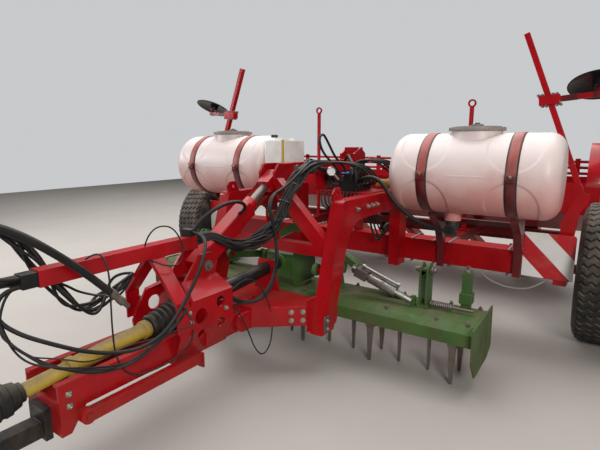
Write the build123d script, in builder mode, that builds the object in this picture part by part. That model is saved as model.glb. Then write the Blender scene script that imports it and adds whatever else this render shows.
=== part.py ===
from build123d import *
import os
from math import atan2, cos, degrees, hypot, pi, radians, sin, tan

os.makedirs("parts", exist_ok=True)

# A trailed four-row planter: a drawbar, a power harrow slung under two bent arches, two liquid tanks,
# a toolbar on two road wheels, and behind it the seed hopper, planting elements and ridging hood.
# Millimetres, +X to the machine's left, +Y to its rear, +Z up, origin on the floor at mid length.

# Road wheels
wheel_diameter = 1130
wheel_y = 755
tyre_width = 400
rim_diameter = 572
rim_wall = 14
axle_diameter = 80
hub_diameter = 190
running_clearance = 0.1
wheel_radius = wheel_diameter / 2

# Toolbar, the square tube across the machine
toolbar_front = 405
toolbar_size = 200
toolbar_bottom = 540
toolbar_half = 1800
toolbar_wall = 10
end_plate = 12
toolbar_top = toolbar_bottom + toolbar_size
toolbar_rear = toolbar_front + toolbar_size

# Wheel legs, which also carry the marker arms
leg_thick = 90
leg_x = toolbar_half + end_plate
pin_radius = 25
small_pin_radius = 15
wheel_x = leg_x + leg_thick + 258
marker_x = leg_x + leg_thick + 48
marker_y = 505
marker_z = 1180
marker_arm = 40
marker_boss = 30
marker_arm_depth = 50
marker_length = 1342
marker_lean = 21.4
marker_lug = 10
marker_gap = 5
disc_along = 800
disc_out = 320
disc_radius = 210
disc_seat = 50
bracket_size = 40

# Bent arches over the harrow
arch_x = 540
arch_width = 100
arch_top = 1200
arch_depth = 160
arch_foot_y = -1065
arch_foot_z = 300
arch_shoulder_y = -790
rear_leg_depth = 150
rear_leg_foot = 500
arch_inner = arch_x - arch_width / 2
beam_size = 100
top_beam_half = 60
top_beam_bottom = 1350
top_beam_front = -740
top_beam_wall = 8
cross_y = -880
cross_size = 80
cross_bottom = 800
tower_plate = 20
flange_thick = 14
arch_pins = (-600, -430, -350, -270)
shelf_y = -120
shelf_depth = 380
shelf_thick = 8
valve_count = 5
valve_pitch = 60
valve_x = 330

# Drawbar, its pitch pivot and the lift cylinder
pivot_y = -1400
pivot_z = 420
ear_radius = 60
tongue_half = 150
tongue_wall = 12
tongue_front = -2606
tongue_rear = -1700
tongue_bottom = 380
tongue_top = 525
head_half = 220
head_front = -1960
head_rear = -1535
head_top = 930
head_bottom = 350
nose_bottom = 360
nose_top = 500
barrel_y = -1610
barrel_z = 850
rod_y = -842
rod_z = 1340
barrel_half = 58
barrel_length = 560
rod_radius = 30
eye_play = 3.8
eye_reach = 110
eye_gap = 6

# Drive line, one sloping axis from the tractor end to the harrow gearbox
drive_y = -1308
drive_z = 625
drive_slope = 5.37
guard_radius = 43
shaft_radius = 50
shaft_front = -1530
shaft_rear = -795

# Power harrow
harrow_half = 1500
harrow_front = -751
harrow_rear = -317
strut_lug_front = -550
strut_foot_x = 1030
trough_bottom = 330
trough_top = 460
rotor_count = 10
rotor_pitch = 300
rotor_y = -534
rotor_shaft = 25
tine_reach = 110
tine_width = 50
tine_thick = 15
link_y = -863
link_z = 700
link_run = 400
link_drop = 80
link_x = 400
link_thick = 30
link_pin = 20
link_eye = 45
top_link_z = 1065

# Liquid tanks
tank_inner = 640
tank_y = 80
tank_z = 1365
tank_radius = 308
tank_length = 1200
tank_x = tank_inner + tank_length / 2
tank_shoulder = 110
neck_radius = 180
neck_height = 17
neck_top = tank_z + tank_radius + neck_height
lid_radius = 200
lid_thick = 25
strap_spread = 310
strap_width = 60
strap_thick = 6
seat_gap = 0.3

# Rear frame, hopper and planting elements
rail_x = 900
rail_width = 100
rail_bottom = 600
rail_top = 700
rail_rear = 3050
hopper_half = 2050
hopper_front = 1350
hopper_rear = 2350
rear_cross_y = hopper_rear - 70
hopper_lip = 1235
hopper_shoulder = 942
hopper_end_top = 1600
hopper_end_width = 120
hopper_wall = 8
floor_front = 1900
floor_rear = 2150
row_pitch = 900
row_x = tuple((row - 1.5) * row_pitch for row in range(4))
unit_front = hopper_rear + 60
unit_rear = unit_front + 290
unit_half = 120
unit_wall = 8
unit_bottom = 340
pulley_radius = 95
pulley_low = 480
pulley_high = 1185
belt_width = 120
belt_thick = 8
cup_pitch_count = 8
hood_front = unit_rear + 60
hood_length = 440
hood_wall = 6
ridge_top = 330
valley_z = 40


def across(x):
    """A plane square to X at x, its own axes along Y and Z."""
    return Plane.YZ.offset(x)


def facing(y):
    """A plane square to Y at y, its own axes along X and Z. Positive depths go forward."""
    return Plane.XZ.offset(-y)


def save(builder, name):
    builder.part.label = name
    export_step(builder.part, f"parts/{name}.step")


# Toolbar
with BuildPart() as toolbar:
    with BuildSketch(across(-toolbar_half)):
        with Locations((toolbar_front + toolbar_size / 2, toolbar_bottom + toolbar_size / 2)):
            Rectangle(toolbar_size, toolbar_size)
            Rectangle(toolbar_size - 2 * toolbar_wall, toolbar_size - 2 * toolbar_wall, mode=Mode.SUBTRACT)
    extrude(amount=2 * toolbar_half)
    for plane_x in (-toolbar_half - end_plate, toolbar_half):
        with BuildSketch(across(plane_x)):
            with Locations((toolbar_front + toolbar_size / 2, toolbar_bottom + toolbar_size / 2)):
                Rectangle(toolbar_size, toolbar_size)
        extrude(amount=end_plate)
save(toolbar, "toolbar")

# Wheel legs with stub axles and the marker arm lugs
axle_end = wheel_x + 50
lug_faces = (
    marker_y - marker_arm_depth / 2 - marker_gap - marker_lug,
    marker_y + marker_arm_depth / 2 + marker_gap,
)
with BuildPart() as wheel_legs:
    with BuildSketch(across(leg_x)):
        with BuildLine():
            Polyline(
                (toolbar_front, toolbar_bottom - 40),
                (toolbar_front, toolbar_top),
                (toolbar_rear, toolbar_top),
                (wheel_y + 90, wheel_radius + 60),
                (wheel_y + 90, wheel_radius - 80),
                (wheel_y - 60, toolbar_bottom - 90),
                close=True,
            )
        make_face()
    extrude(amount=leg_thick)
    with BuildSketch(across(leg_x + leg_thick)):
        with Locations((wheel_y, wheel_radius)):
            Circle(axle_diameter / 2)
    extrude(amount=axle_end - leg_x - leg_thick)
    for face_y in lug_faces:
        with BuildSketch(facing(face_y)):
            with BuildLine():
                Polyline(
                    (leg_x + 10, toolbar_top),
                    (leg_x + leg_thick, toolbar_top),
                    (marker_x - 10, marker_z - 100),
                    (marker_x + 38, marker_z - 34),
                    (marker_x + 38, marker_z + 36),
                    (marker_x - 36, marker_z + 40),
                    (leg_x + 10, marker_z - 180),
                    close=True,
                )
            make_face()
        extrude(amount=-marker_lug)
    with BuildSketch(facing(lug_faces[0])):
        with Locations((marker_x, marker_z)):
            Circle(small_pin_radius)
    extrude(amount=-(lug_faces[1] - lug_faces[0]))
    mirror(about=Plane.YZ)
save(wheel_legs, "wheel_legs")

# Road wheels, a tyre and a dished rim on each side
tread_half = tyre_width / 2 - 42
bead_half = tyre_width / 2 - 35
rim_radius = rim_diameter / 2
for side, side_name in ((1, "left"), (-1, "right")):
    wheel_plane = Plane(origin=(side * wheel_x, wheel_y, wheel_radius), x_dir=(1, 0, 0), z_dir=(0, -1, 0))
    wheel_axis = Axis((side * wheel_x, wheel_y, wheel_radius), (1, 0, 0))
    with BuildPart() as tyre:
        with BuildSketch(wheel_plane):
            with BuildLine():
                Line((-bead_half, rim_radius), (bead_half, rim_radius))
                ThreePointArc(
                    (bead_half, rim_radius),
                    (tyre_width / 2, (rim_radius + wheel_radius) / 2),
                    (tread_half + 18, wheel_radius - 22),
                )
                Line((tread_half + 18, wheel_radius - 22), (tread_half - 20, wheel_radius))
                Line((tread_half - 20, wheel_radius), (20 - tread_half, wheel_radius))
                Line((20 - tread_half, wheel_radius), (-tread_half - 18, wheel_radius - 22))
                ThreePointArc(
                    (-tread_half - 18, wheel_radius - 22),
                    (-tyre_width / 2, (rim_radius + wheel_radius) / 2),
                    (-bead_half, rim_radius),
                )
            make_face()
        revolve(axis=wheel_axis)
    save(tyre, f"tyre_{side_name}")

    dish_x = -side * 40
    hub_inner = -side * 130
    with BuildPart() as rim:
        with BuildSketch(wheel_plane):
            with BuildLine():
                Polyline(
                    (-bead_half, rim_radius - seat_gap),
                    (-bead_half + 10, rim_radius - seat_gap),
                    (bead_half, rim_radius - seat_gap),
                    (bead_half, rim_radius - rim_wall - 20),
                    (bead_half - 14, rim_radius - rim_wall - 20),
                    (bead_half - 40, rim_radius - rim_wall),
                    (-bead_half + 40, rim_radius - rim_wall),
                    (-bead_half + 14, rim_radius - rim_wall - 20),
                    (-bead_half, rim_radius - rim_wall - 20),
                    close=True,
                )
            make_face()
            with BuildLine():
                Polyline(
                    (dish_x, rim_radius - rim_wall + 2),
                    (dish_x + 12 * side, rim_radius - rim_wall + 2),
                    (dish_x + 62 * side, 150),
                    (dish_x + 62 * side, hub_diameter / 2 - 10),
                    (dish_x + 50 * side, hub_diameter / 2 - 10),
                    (dish_x + 50 * side, 145),
                    close=True,
                )
            make_face()
            with BuildLine():
                Polyline(
                    (hub_inner, axle_diameter / 2 + running_clearance),
                    (hub_inner, hub_diameter / 2 - 20),
                    (dish_x + 50 * side, hub_diameter / 2),
                    (dish_x + 62 * side, hub_diameter / 2),
                    (dish_x + 120 * side, hub_diameter / 2 - 20),
                    (dish_x + 120 * side, 0),
                    (dish_x + 100 * side, 0),
                    (dish_x + 100 * side, axle_diameter / 2 + running_clearance),
                    close=True,
                )
            make_face()
        revolve(axis=wheel_axis)
    save(rim, f"rim_{side_name}")

# Bent arches, cross members, lift cylinder tower and the long top beam, one weldment
leg_slope = (arch_shoulder_y - arch_foot_y) / (arch_top - arch_foot_z)
arch_under = arch_top - arch_depth
inner_corner = (arch_foot_y + arch_depth + leg_slope * (arch_under - arch_foot_z), arch_under)
rear_corner = (toolbar_front - rear_leg_depth, arch_under)
rod_ear_inner = 56
with BuildPart() as arch_frame:
    with BuildSketch(across(arch_x - arch_width / 2)) as arch_sketch:
        with BuildLine():
            Polyline(
                (arch_foot_y, arch_foot_z),
                (arch_shoulder_y, arch_top),
                (toolbar_front, arch_top),
                (toolbar_front, rear_leg_foot),
                (toolbar_front - rear_leg_depth, rear_leg_foot),
                rear_corner,
                inner_corner,
                (arch_foot_y + arch_depth, arch_foot_z),
                close=True,
            )
        make_face()
        fillet(arch_sketch.vertices().sort_by_distance(inner_corner)[0], 260)
        fillet(arch_sketch.vertices().sort_by_distance(rear_corner)[0], 110)
        fillet(arch_sketch.vertices().sort_by_distance((arch_shoulder_y, arch_top))[0], 36)
        fillet(arch_sketch.vertices().sort_by_distance((toolbar_front, arch_top))[0], 40)
    extrude(amount=arch_width)
    with BuildSketch(facing(cross_y)):
        with BuildLine():
            Polyline(
                (rod_ear_inner + 14, rod_z + 10),
                (rod_ear_inner + 14, rod_z - 140),
                (arch_inner, cross_bottom - 20),
                (arch_inner, cross_bottom + 125),
                close=True,
            )
        make_face()
    extrude(amount=-cross_size)
    with BuildSketch(across(rod_ear_inner)):
        with BuildLine():
            Polyline(
                (rod_y - 62, rod_z - 40),
                (rod_y - 62, rod_z + 50),
                (rod_y - 10, top_beam_bottom + beam_size),
                (top_beam_front + 60, top_beam_bottom + beam_size),
                (top_beam_front + 60, rod_z - 90),
                (rod_y - 10, rod_z - 110),
                close=True,
            )
        make_face()
    extrude(amount=tower_plate)
    with BuildSketch(across(link_x - 5)):
        with Locations((link_y, link_z)):
            Circle(link_pin)
    extrude(amount=arch_inner - link_x + 5)
    with BuildSketch(across(30)):
        with Locations((cross_y + cross_size / 2, cross_bottom + cross_size + 105)):
            Rectangle(60, 220)
    extrude(amount=14)
    with BuildSketch(across(arch_inner + 8)):
        with BuildLine():
            Polyline(
                (arch_shoulder_y + 10, arch_top - 60),
                (arch_shoulder_y - 15, arch_top + 45),
                (arch_shoulder_y + 20, arch_top + 85),
                (arch_shoulder_y + 95, arch_top + 85),
                (arch_shoulder_y + 130, arch_top),
                close=True,
            )
        make_face()
        with Locations((arch_shoulder_y + 60, arch_top + 45)):
            Circle(13, mode=Mode.SUBTRACT)
    extrude(amount=12)
    with BuildSketch(across(arch_inner + arch_width)):
        with Locations(*[(pin_y, arch_top - 75) for pin_y in arch_pins]):
            Circle(22)
    extrude(amount=10)
    with BuildSketch(across(arch_inner - flange_thick)):
        with Locations((arch_foot_y + 75, arch_foot_z + 130)):
            Rectangle(190, 230)
    extrude(amount=flange_thick)
    with BuildSketch(across(arch_inner + 20)):
        with BuildLine():
            Polyline(
                (arch_foot_y + arch_depth + 10, arch_foot_z + 5),
                (arch_foot_y + arch_depth + 75, arch_foot_z + 25),
                (arch_foot_y + arch_depth + 95, arch_foot_z + 120),
                (arch_foot_y + arch_depth + 30, arch_foot_z + 130),
                close=True,
            )
        make_face()
    extrude(amount=60)
    with BuildSketch(across(top_beam_half)):
        with BuildLine():
            Polyline(
                (toolbar_front, toolbar_top),
                (toolbar_front - 75, toolbar_top + 200),
                (toolbar_front - 75, top_beam_bottom + 150),
                (toolbar_front + 60, top_beam_bottom + 210),
                (toolbar_front + 155, top_beam_bottom + 150),
                (toolbar_front + 155, toolbar_top),
                close=True,
            )
        make_face()
    extrude(amount=tower_plate)
    mirror(about=Plane.YZ)
    with BuildSketch(across(-arch_inner)):
        with Locations((cross_y + cross_size / 2, cross_bottom + cross_size / 2)):
            Rectangle(cross_size, cross_size)
    extrude(amount=2 * arch_inner)
    with BuildSketch(facing(top_beam_front)):
        with Locations((0, top_beam_bottom + beam_size / 2)):
            Rectangle(2 * top_beam_half, beam_size)
            Rectangle(2 * (top_beam_half - top_beam_wall), beam_size - 2 * top_beam_wall, mode=Mode.SUBTRACT)
    extrude(amount=top_beam_front - toolbar_front)
    with BuildSketch(across(-rod_ear_inner - tower_plate)):
        with Locations((rod_y, rod_z)):
            Circle(pin_radius)
    extrude(amount=2 * (rod_ear_inner + tower_plate))
    with BuildSketch(across(-44)):
        with Locations((cross_y + cross_size / 2, top_link_z)):
            Circle(small_pin_radius)
    extrude(amount=88)
    with BuildSketch(Plane.XY.offset(top_beam_bottom + 120)):
        with Locations((0, toolbar_front + 60)):
            Rectangle(2 * top_beam_half, 150)
    extrude(amount=90)
    with BuildSketch(Plane.XY.offset(arch_top)):
        with Locations(((top_beam_half + arch_x) / 2, shelf_y)):
            Rectangle(arch_x - top_beam_half, shelf_depth)
    extrude(amount=shelf_thick)
    with BuildSketch(Plane.XY.offset(arch_top)):
        with Locations((top_beam_half - 6, shelf_y)):
            Rectangle(12, shelf_depth)
    extrude(amount=top_beam_bottom - arch_top)
    with BuildSketch(Plane.XY.offset(arch_top)):
        with Locations((-arch_x, 0)):
            Rectangle(60, 60)
    extrude(amount=194)
    with BuildSketch(Plane.XY.offset(arch_top + 194)):
        with Locations((-arch_x + 40, 0)):
            Rectangle(260, 400)
    extrude(amount=6)
save(arch_frame, "arch_frame")

# Nose between the arch feet, with the pitch pivot and the shaft pedestal
drive_dir = (0, cos(radians(drive_slope)), sin(radians(drive_slope)))


def drive_at(y):
    """Height of the drive line at y."""
    return drive_z + (y - drive_y) * drive_dir[2] / drive_dir[1]


def drive_plane(y):
    """A plane square to the drive line where it passes y."""
    return Plane(origin=(0, y, drive_at(y)), x_dir=(1, 0, 0), z_dir=drive_dir)


ear_inner = 155
ear_thick = 30
nose_front = pivot_y + ear_radius + 20
pedestal_y = -935
with BuildPart() as front_nose:
    with BuildSketch(Plane.XY.offset(nose_bottom)):
        with BuildLine():
            Polyline(
                (-ear_inner - ear_thick, nose_front),
                (ear_inner + ear_thick, nose_front),
                (arch_inner - flange_thick, -1080),
                (arch_inner - flange_thick, -900),
                (-arch_inner + flange_thick, -900),
                (-arch_inner + flange_thick, -1080),
                close=True,
            )
        make_face()
    extrude(amount=nose_top - nose_bottom)
    for ear_x in (ear_inner, -ear_inner - ear_thick):
        with BuildSketch(across(ear_x)):
            with Locations((pivot_y, pivot_z)):
                Circle(ear_radius)
            with Locations(((pivot_y + nose_front) / 2, pivot_z)):
                Rectangle(nose_front - pivot_y, 2 * ear_radius)
        extrude(amount=ear_thick)
    with BuildSketch(across(-ear_inner - ear_thick - 10)):
        with Locations((pivot_y, pivot_z)):
            Circle(pin_radius)
    extrude(amount=2 * (ear_inner + ear_thick + 10))
    with BuildSketch(Plane.XY.offset(nose_top)):
        with Locations((0, -1190)):
            Circle(80)
    extrude(amount=20)
    with BuildSketch(facing(pedestal_y)):
        with BuildLine():
            Polyline(
                (-110, nose_top),
                (110, nose_top),
                (70, drive_at(pedestal_y) + 66),
                (-70, drive_at(pedestal_y) + 66),
                close=True,
            )
        make_face()
    extrude(amount=-30)
    with BuildSketch(drive_plane(pedestal_y - 100)):
        Circle(shaft_radius + seat_gap)
    extrude(amount=230, mode=Mode.SUBTRACT)
save(front_nose, "front_nose")

# Drawbar: a channel tongue that grows into the tunnel head with the cylinder ears
head_side = [
    (head_front, head_bottom),
    (head_front, 540),
    (-1852, 720),
    (barrel_y - 60, head_top),
    (barrel_y + 60, head_top),
    (head_rear, 720),
    (head_rear, head_bottom),
]
head_holes = ((-1800, 610, 46), (-1640, 655, 34), (-1640, 520, 30), (-1800, 500, 26))
head_outer = [(86, head_top), (86, 790), (head_half, 715), (head_half, 520), (tongue_half, head_bottom)]
head_inner = [(66, head_top + 1), (66, 778), (head_half - 14, 702), (head_half - 14, 523), (141, 364)]
stand_y = -2500
stand_z = 345
stand_gap = 18
with BuildPart() as drawbar:
    with BuildSketch(facing(head_front)):
        with BuildLine():
            Polyline(*head_outer, *[(-x, z) for x, z in reversed(head_outer)], close=True)
        make_face()
    extrude(amount=head_front - head_rear)
    with BuildSketch(facing(head_front - 5)):
        with BuildLine():
            Polyline(*head_inner, *[(-x, z) for x, z in reversed(head_inner)], close=True)
        make_face()
    extrude(amount=head_front - head_rear - 10, mode=Mode.SUBTRACT)
    with BuildSketch(across(-head_half)):
        with BuildLine():
            Polyline(*head_side, close=True)
        make_face()
    extrude(amount=2 * head_half, mode=Mode.INTERSECT)
    for hole_y, hole_z, hole_r in head_holes:
        with BuildSketch(across(-head_half)):
            with Locations((hole_y, hole_z)):
                Circle(hole_r)
        extrude(amount=2 * head_half, mode=Mode.SUBTRACT)
    for arm_x in (120, -tongue_half):
        with BuildSketch(across(arm_x)):
            with Locations((pivot_y, pivot_z)):
                Circle(ear_radius)
            with Locations(((pivot_y + head_rear - 160) / 2, pivot_z)):
                Rectangle(pivot_y - head_rear + 160, 2 * ear_radius)
            with Locations((pivot_y, pivot_z)):
                Circle(pin_radius + running_clearance, mode=Mode.SUBTRACT)
        extrude(amount=tongue_half - 120)
    with BuildSketch(facing(-1760)):
        with BuildLine():
            Polyline((-210, 400), (-210, 700), (-100, 760), (100, 760), (210, 700), (210, 400), close=True)
        make_face()
    extrude(amount=-20)
    with BuildSketch(drive_plane(-1850)):
        Circle(32)
    extrude(amount=150, mode=Mode.SUBTRACT)
    for wall_x in (-tongue_half, tongue_half - tongue_wall):
        with BuildSketch(across(wall_x)):
            with BuildLine():
                Polyline(
                    (tongue_front, tongue_top),
                    (tongue_rear, tongue_top),
                    (tongue_rear, tongue_bottom),
                    (tongue_front + 126, tongue_bottom),
                    (tongue_front + 46, tongue_bottom - 110),
                    (tongue_front, tongue_bottom - 110),
                    close=True,
                )
            make_face()
        extrude(amount=tongue_wall)
    with BuildSketch(facing(tongue_front)):
        with Locations((0, tongue_bottom + tongue_wall / 2)):
            Rectangle(2 * tongue_half, tongue_wall)
        for flange_x in (-1, 1):
            with Locations((flange_x * (tongue_half - 20), tongue_top - tongue_wall / 2)):
                Rectangle(40, tongue_wall)
    extrude(amount=tongue_front - tongue_rear)
    with BuildSketch(facing(tongue_front)):
        with Locations((0, tongue_bottom - 25)):
            Rectangle(2 * tongue_half, 170)
    extrude(amount=-tongue_wall)
    with BuildSketch(across(-86)):
        with Locations((barrel_y, barrel_z)):
            Circle(pin_radius)
    extrude(amount=172)
    with BuildSketch(across(tongue_half - tongue_wall)):
        with Locations((stand_y, stand_z)):
            Circle(small_pin_radius)
    extrude(amount=tongue_wall + stand_gap + 46)
    with BuildSketch(across(tongue_half)):
        with Locations((stand_y, stand_z)):
            Circle(28)
    extrude(amount=stand_gap - seat_gap)
save(drawbar, "drawbar")

# Parking stand, folded back along the tongue
stand_end = -1800
with BuildPart() as parking_stand:
    with BuildSketch(across(tongue_half + stand_gap)):
        with Locations((stand_y, stand_z)):
            Circle(38)
        with Locations(((stand_y + stand_end) / 2, stand_z)):
            Rectangle(stand_end - stand_y, 64)
        with Locations((stand_y, stand_z)):
            Circle(small_pin_radius + running_clearance, mode=Mode.SUBTRACT)
    extrude(amount=40)
    with BuildSketch(facing(stand_end)):
        with Locations((tongue_half + stand_gap + 25, stand_z - 14)):
            Rectangle(50, 92)
    extrude(amount=-12)
save(parking_stand, "parking_stand")

# Hose beam over the tongue on its forked bracket
hose_beam_size = 80
hose_beam_bottom = 960
with BuildPart() as hose_beam:
    with BuildSketch(facing(-2581)):
        with Locations((0, hose_beam_bottom + hose_beam_size / 2)):
            Rectangle(hose_beam_size, hose_beam_size)
            Rectangle(hose_beam_size - 12, hose_beam_size - 12, mode=Mode.SUBTRACT)
    extrude(amount=-941)
    with BuildSketch(facing(-1985)):
        with BuildLine():
            Polyline(
                (0, hose_beam_bottom),
                (hose_beam_size / 2, hose_beam_bottom),
                (head_half + 12, 735),
                (head_half + 12, 560),
                (head_half, 560),
                (head_half, 720),
                close=True,
            )
        make_face()
    extrude(amount=-90)
    mirror(about=Plane.YZ)
save(hose_beam, "hose_beam")


# Hoses that hang from the beam
gland_front = -2651
gland_length = 130
gland_size = hose_beam_size - 12 - 2 * seat_gap
clip_y = -1680
clip_height = 45
tail_diameter = 38
drape_diameter = 20
tail_route = [
    (-12, gland_front, 1012),
    (-12, -2765, 1012),
    (-5, -2875, 1035),
    (15, -2955, 1110),
    (45, -2968, 1215),
    (80, -2895, 1290),
    (110, -2780, 1290),
    (125, -2660, 1220),
    (130, -2540, 1120),
    (130, -2415, 1005),
    (130, -2303, 882),
]
drape_route = [
    (20, gland_front, 982),
    (20, -2736, 982),
    (42, -2775, 880),
    (90, -2710, 800),
    (135, -2600, 725),
    (178, -2485, 655),
    (215, -2360, 605),
    (242, -2235, 585),
    (264, -2115, 618),
    (277, -2020, 700),
    (277, -1930, 800),
    (265, -1840, 905),
    (220, -1745, 1000),
    (140, clip_y, 1064),
    (hose_beam_size / 2, clip_y, 1064),
]


def route_radii(route, diameter):
    runs = [Vector(*end) - Vector(*start) for start, end in zip(route, route[1:])]
    radii = []
    for before, after in zip(runs, runs[1:]):
        half_turn = radians(before.get_angle(after) / 2)
        radii.append(0.45 * min(before.length, after.length) / tan(half_turn))
    print("runs", [round(run.length) for run in runs], "radii in diameters", [round(r / diameter, 1) for r in radii])
    return radii


def hose_tube(route, diameter):
    with BuildPart() as tube:
        with BuildLine() as path:
            FilletPolyline(*route, radius=route_radii(route, diameter))
        with BuildSketch(Plane(origin=route[0], z_dir=Vector(*route[1]) - Vector(*route[0]))):
            Circle(diameter / 2)
        sweep()
    expected = pi * diameter**2 / 4 * path.wire().length
    print("tube volume over section times length", round(tube.part.volume / expected, 4))
    return tube


with BuildPart() as hose_glands:
    with BuildSketch(facing(gland_front)):
        with Locations((0, hose_beam_bottom + hose_beam_size / 2)):
            Rectangle(gland_size, gland_size)
    extrude(amount=-gland_length)
    with BuildSketch(Plane.XY.offset(hose_beam_bottom + hose_beam_size)):
        with Locations((0, clip_y)):
            Rectangle(hose_beam_size, 46)
    extrude(amount=clip_height)
save(hose_glands, "hose_glands")

save(hose_tube(tail_route, tail_diameter), "hose_tail")
save(hose_tube(drape_route, drape_diameter), "hose_drape")

coupler_dir = Vector(*tail_route[-1]) - Vector(*tail_route[-2])
with BuildPart() as hose_coupler:
    reach = 0
    for coupler_radius, coupler_length in ((23, 38), (17, 26), (21, 34), (13, 40)):
        with BuildSketch(Plane(origin=Vector(*tail_route[-1]) + coupler_dir.normalized() * reach, z_dir=coupler_dir)):
            Circle(coupler_radius)
        extrude(amount=coupler_length)
        reach += coupler_length
save(hose_coupler, "hose_coupler")

# Tow bar with its ring
ring_y = -3145
ring_z = 290
ring_hole = 25
ring_radius = 55
ring_thick = 32
with BuildPart() as tow_bar:
    with BuildSketch(facing(tongue_front)):
        with Locations((0, ring_z + 30)):
            Rectangle(140, 160)
    extrude(amount=34)
    with BuildSketch(facing(tongue_front - 34)):
        with Locations((0, ring_z)):
            Rectangle(80, 80)
    extrude(amount=440)
    with BuildSketch(Plane.XY.offset(ring_z - ring_thick / 2)):
        with Locations((0, ring_y)):
            Circle(ring_radius)
        with Locations((0, ring_y + ring_radius - 5)):
            Rectangle(70, 50)
        with Locations((0, ring_y)):
            Circle(ring_hole, mode=Mode.SUBTRACT)
    extrude(amount=ring_thick)
save(tow_bar, "tow_bar")

# Drive shaft guard, its cone and boot, and the enclosed rear shaft
bell_front = -2845
bell_rear = -2690
boot_rings = 7
boot_front = -2004
boot_rear = -1760 - seat_gap
boot_length = (boot_rear - boot_front) / drive_dir[1]
with BuildPart() as shaft_guard:
    with BuildSketch(drive_plane(bell_rear)):
        Circle(guard_radius - 7)
    extrude(amount=-bell_rear - 2440)
    with BuildSketch(drive_plane(-2460)):
        Circle(guard_radius)
    extrude(amount=(boot_front - seat_gap + 2460) / drive_dir[1])
    for collar_y in (-2480, -2050):
        with BuildSketch(drive_plane(collar_y)):
            Circle(guard_radius + 9)
        extrude(amount=34)
save(shaft_guard, "shaft_guard")

with BuildPart() as shaft_boot:
    with BuildSketch(Plane(origin=(0, boot_front, drive_at(boot_front)), x_dir=drive_dir, z_dir=(1, 0, 0))):
        with BuildLine():
            rim_points = [(0, 0), (0, 62)]
            for ring in range(boot_rings):
                start = boot_length * ring / boot_rings
                step = boot_length / boot_rings
                radius = 64 + 30 * ring / (boot_rings - 1)
                rim_points += [(start + step * 0.3, radius + 6), (start + step * 0.7, radius + 6)]
                rim_points += [(start + step * 0.98, radius - 6)]
            rim_points += [(boot_length, 88), (boot_length, 0)]
            Polyline(*rim_points, close=True)
        make_face()
    revolve(axis=Axis((0, boot_front, drive_at(boot_front)), drive_dir))
    with BuildSketch(across(-120)):
        with Locations((boot_rear + 30, drive_at(boot_rear))):
            Rectangle(60, 260)
    extrude(amount=240, mode=Mode.SUBTRACT)
    with BuildSketch(Plane(origin=(0, bell_front, drive_at(bell_front)), x_dir=drive_dir, z_dir=(1, 0, 0))):
        with BuildLine():
            bell_length = (bell_rear - seat_gap - bell_front) / drive_dir[1]
            Polyline(
                (0, 0),
                (0, 70),
                (8, 79),
                (40, 79),
                (46, 73),
                (60, 73),
                (66, 78),
                (90, 76),
                (96, 68),
                (bell_length - 24, 60),
                (bell_length - 16, 47),
                (bell_length, 47),
                (bell_length, 0),
                close=True,
            )
        make_face()
    revolve(axis=Axis((0, bell_front, drive_at(bell_front)), drive_dir))
    with BuildSketch(drive_plane(bell_front - 30)):
        Circle(66)
    extrude(amount=60, mode=Mode.SUBTRACT)
    with BuildSketch(drive_plane(bell_front - 120)):
        Circle(34)
    extrude(amount=200)
    with BuildSketch(drive_plane(bell_front - 150)):
        Rectangle(84, 50)
    extrude(amount=44)
save(shaft_boot, "shaft_boot")

with BuildPart() as drive_tube:
    with BuildSketch(drive_plane(shaft_front)):
        Circle(shaft_radius)
    extrude(amount=(shaft_rear - shaft_front) / drive_dir[1])
save(drive_tube, "drive_tube")

# Lift cylinder, a square barrel and its rod, between the drawbar head and the tower
stroke_dir = (0, rod_y - barrel_y, rod_z - barrel_z)
pin_to_pin = hypot(stroke_dir[1], stroke_dir[2])


def along_stroke(distance, x=0):
    """A plane square to the cylinder, distance from its lower pin."""
    share = distance / pin_to_pin
    return Plane(
        origin=(x, barrel_y + share * stroke_dir[1], barrel_z + share * stroke_dir[2]),
        x_dir=(1, 0, 0),
        z_dir=stroke_dir,
    )


with BuildPart() as lift_barrel:
    with BuildSketch(along_stroke(-42)):
        Rectangle(2 * barrel_half, 2 * barrel_half)
    extrude(amount=barrel_length + 42)
    fillet(lift_barrel.edges().filter_by(Axis(Vector(0, 0, 0), stroke_dir)), 14)
    with BuildSketch(along_stroke(barrel_length)):
        Circle(54)
    extrude(amount=60)
    with BuildSketch(along_stroke(220)):
        Circle(rod_radius + seat_gap)
    extrude(amount=450, mode=Mode.SUBTRACT)
    with BuildSketch(across(-barrel_half - 1)):
        with Locations((barrel_y, barrel_z)):
            Circle(pin_radius + running_clearance)
    extrude(amount=2 * barrel_half + 2, mode=Mode.SUBTRACT)
save(lift_barrel, "lift_barrel")

with BuildPart() as lift_rod:
    with BuildSketch(along_stroke(330)):
        Circle(rod_radius)
    extrude(amount=pin_to_pin - 330 - eye_reach - seat_gap)
save(lift_rod, "lift_rod")

with BuildPart() as lift_eye:
    with BuildSketch(along_stroke(pin_to_pin - eye_reach)):
        Rectangle(2 * (rod_ear_inner - eye_gap), 94)
    extrude(amount=eye_reach + 48)
    fillet(lift_eye.edges().filter_by(Axis.X).group_by(Axis.Y)[-1], 40)
    with BuildSketch(across(-rod_ear_inner)):
        with Locations((rod_y, rod_z)):
            Circle(pin_radius + eye_play)
    extrude(amount=2 * rod_ear_inner, mode=Mode.SUBTRACT)
save(lift_eye, "lift_eye")

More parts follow.
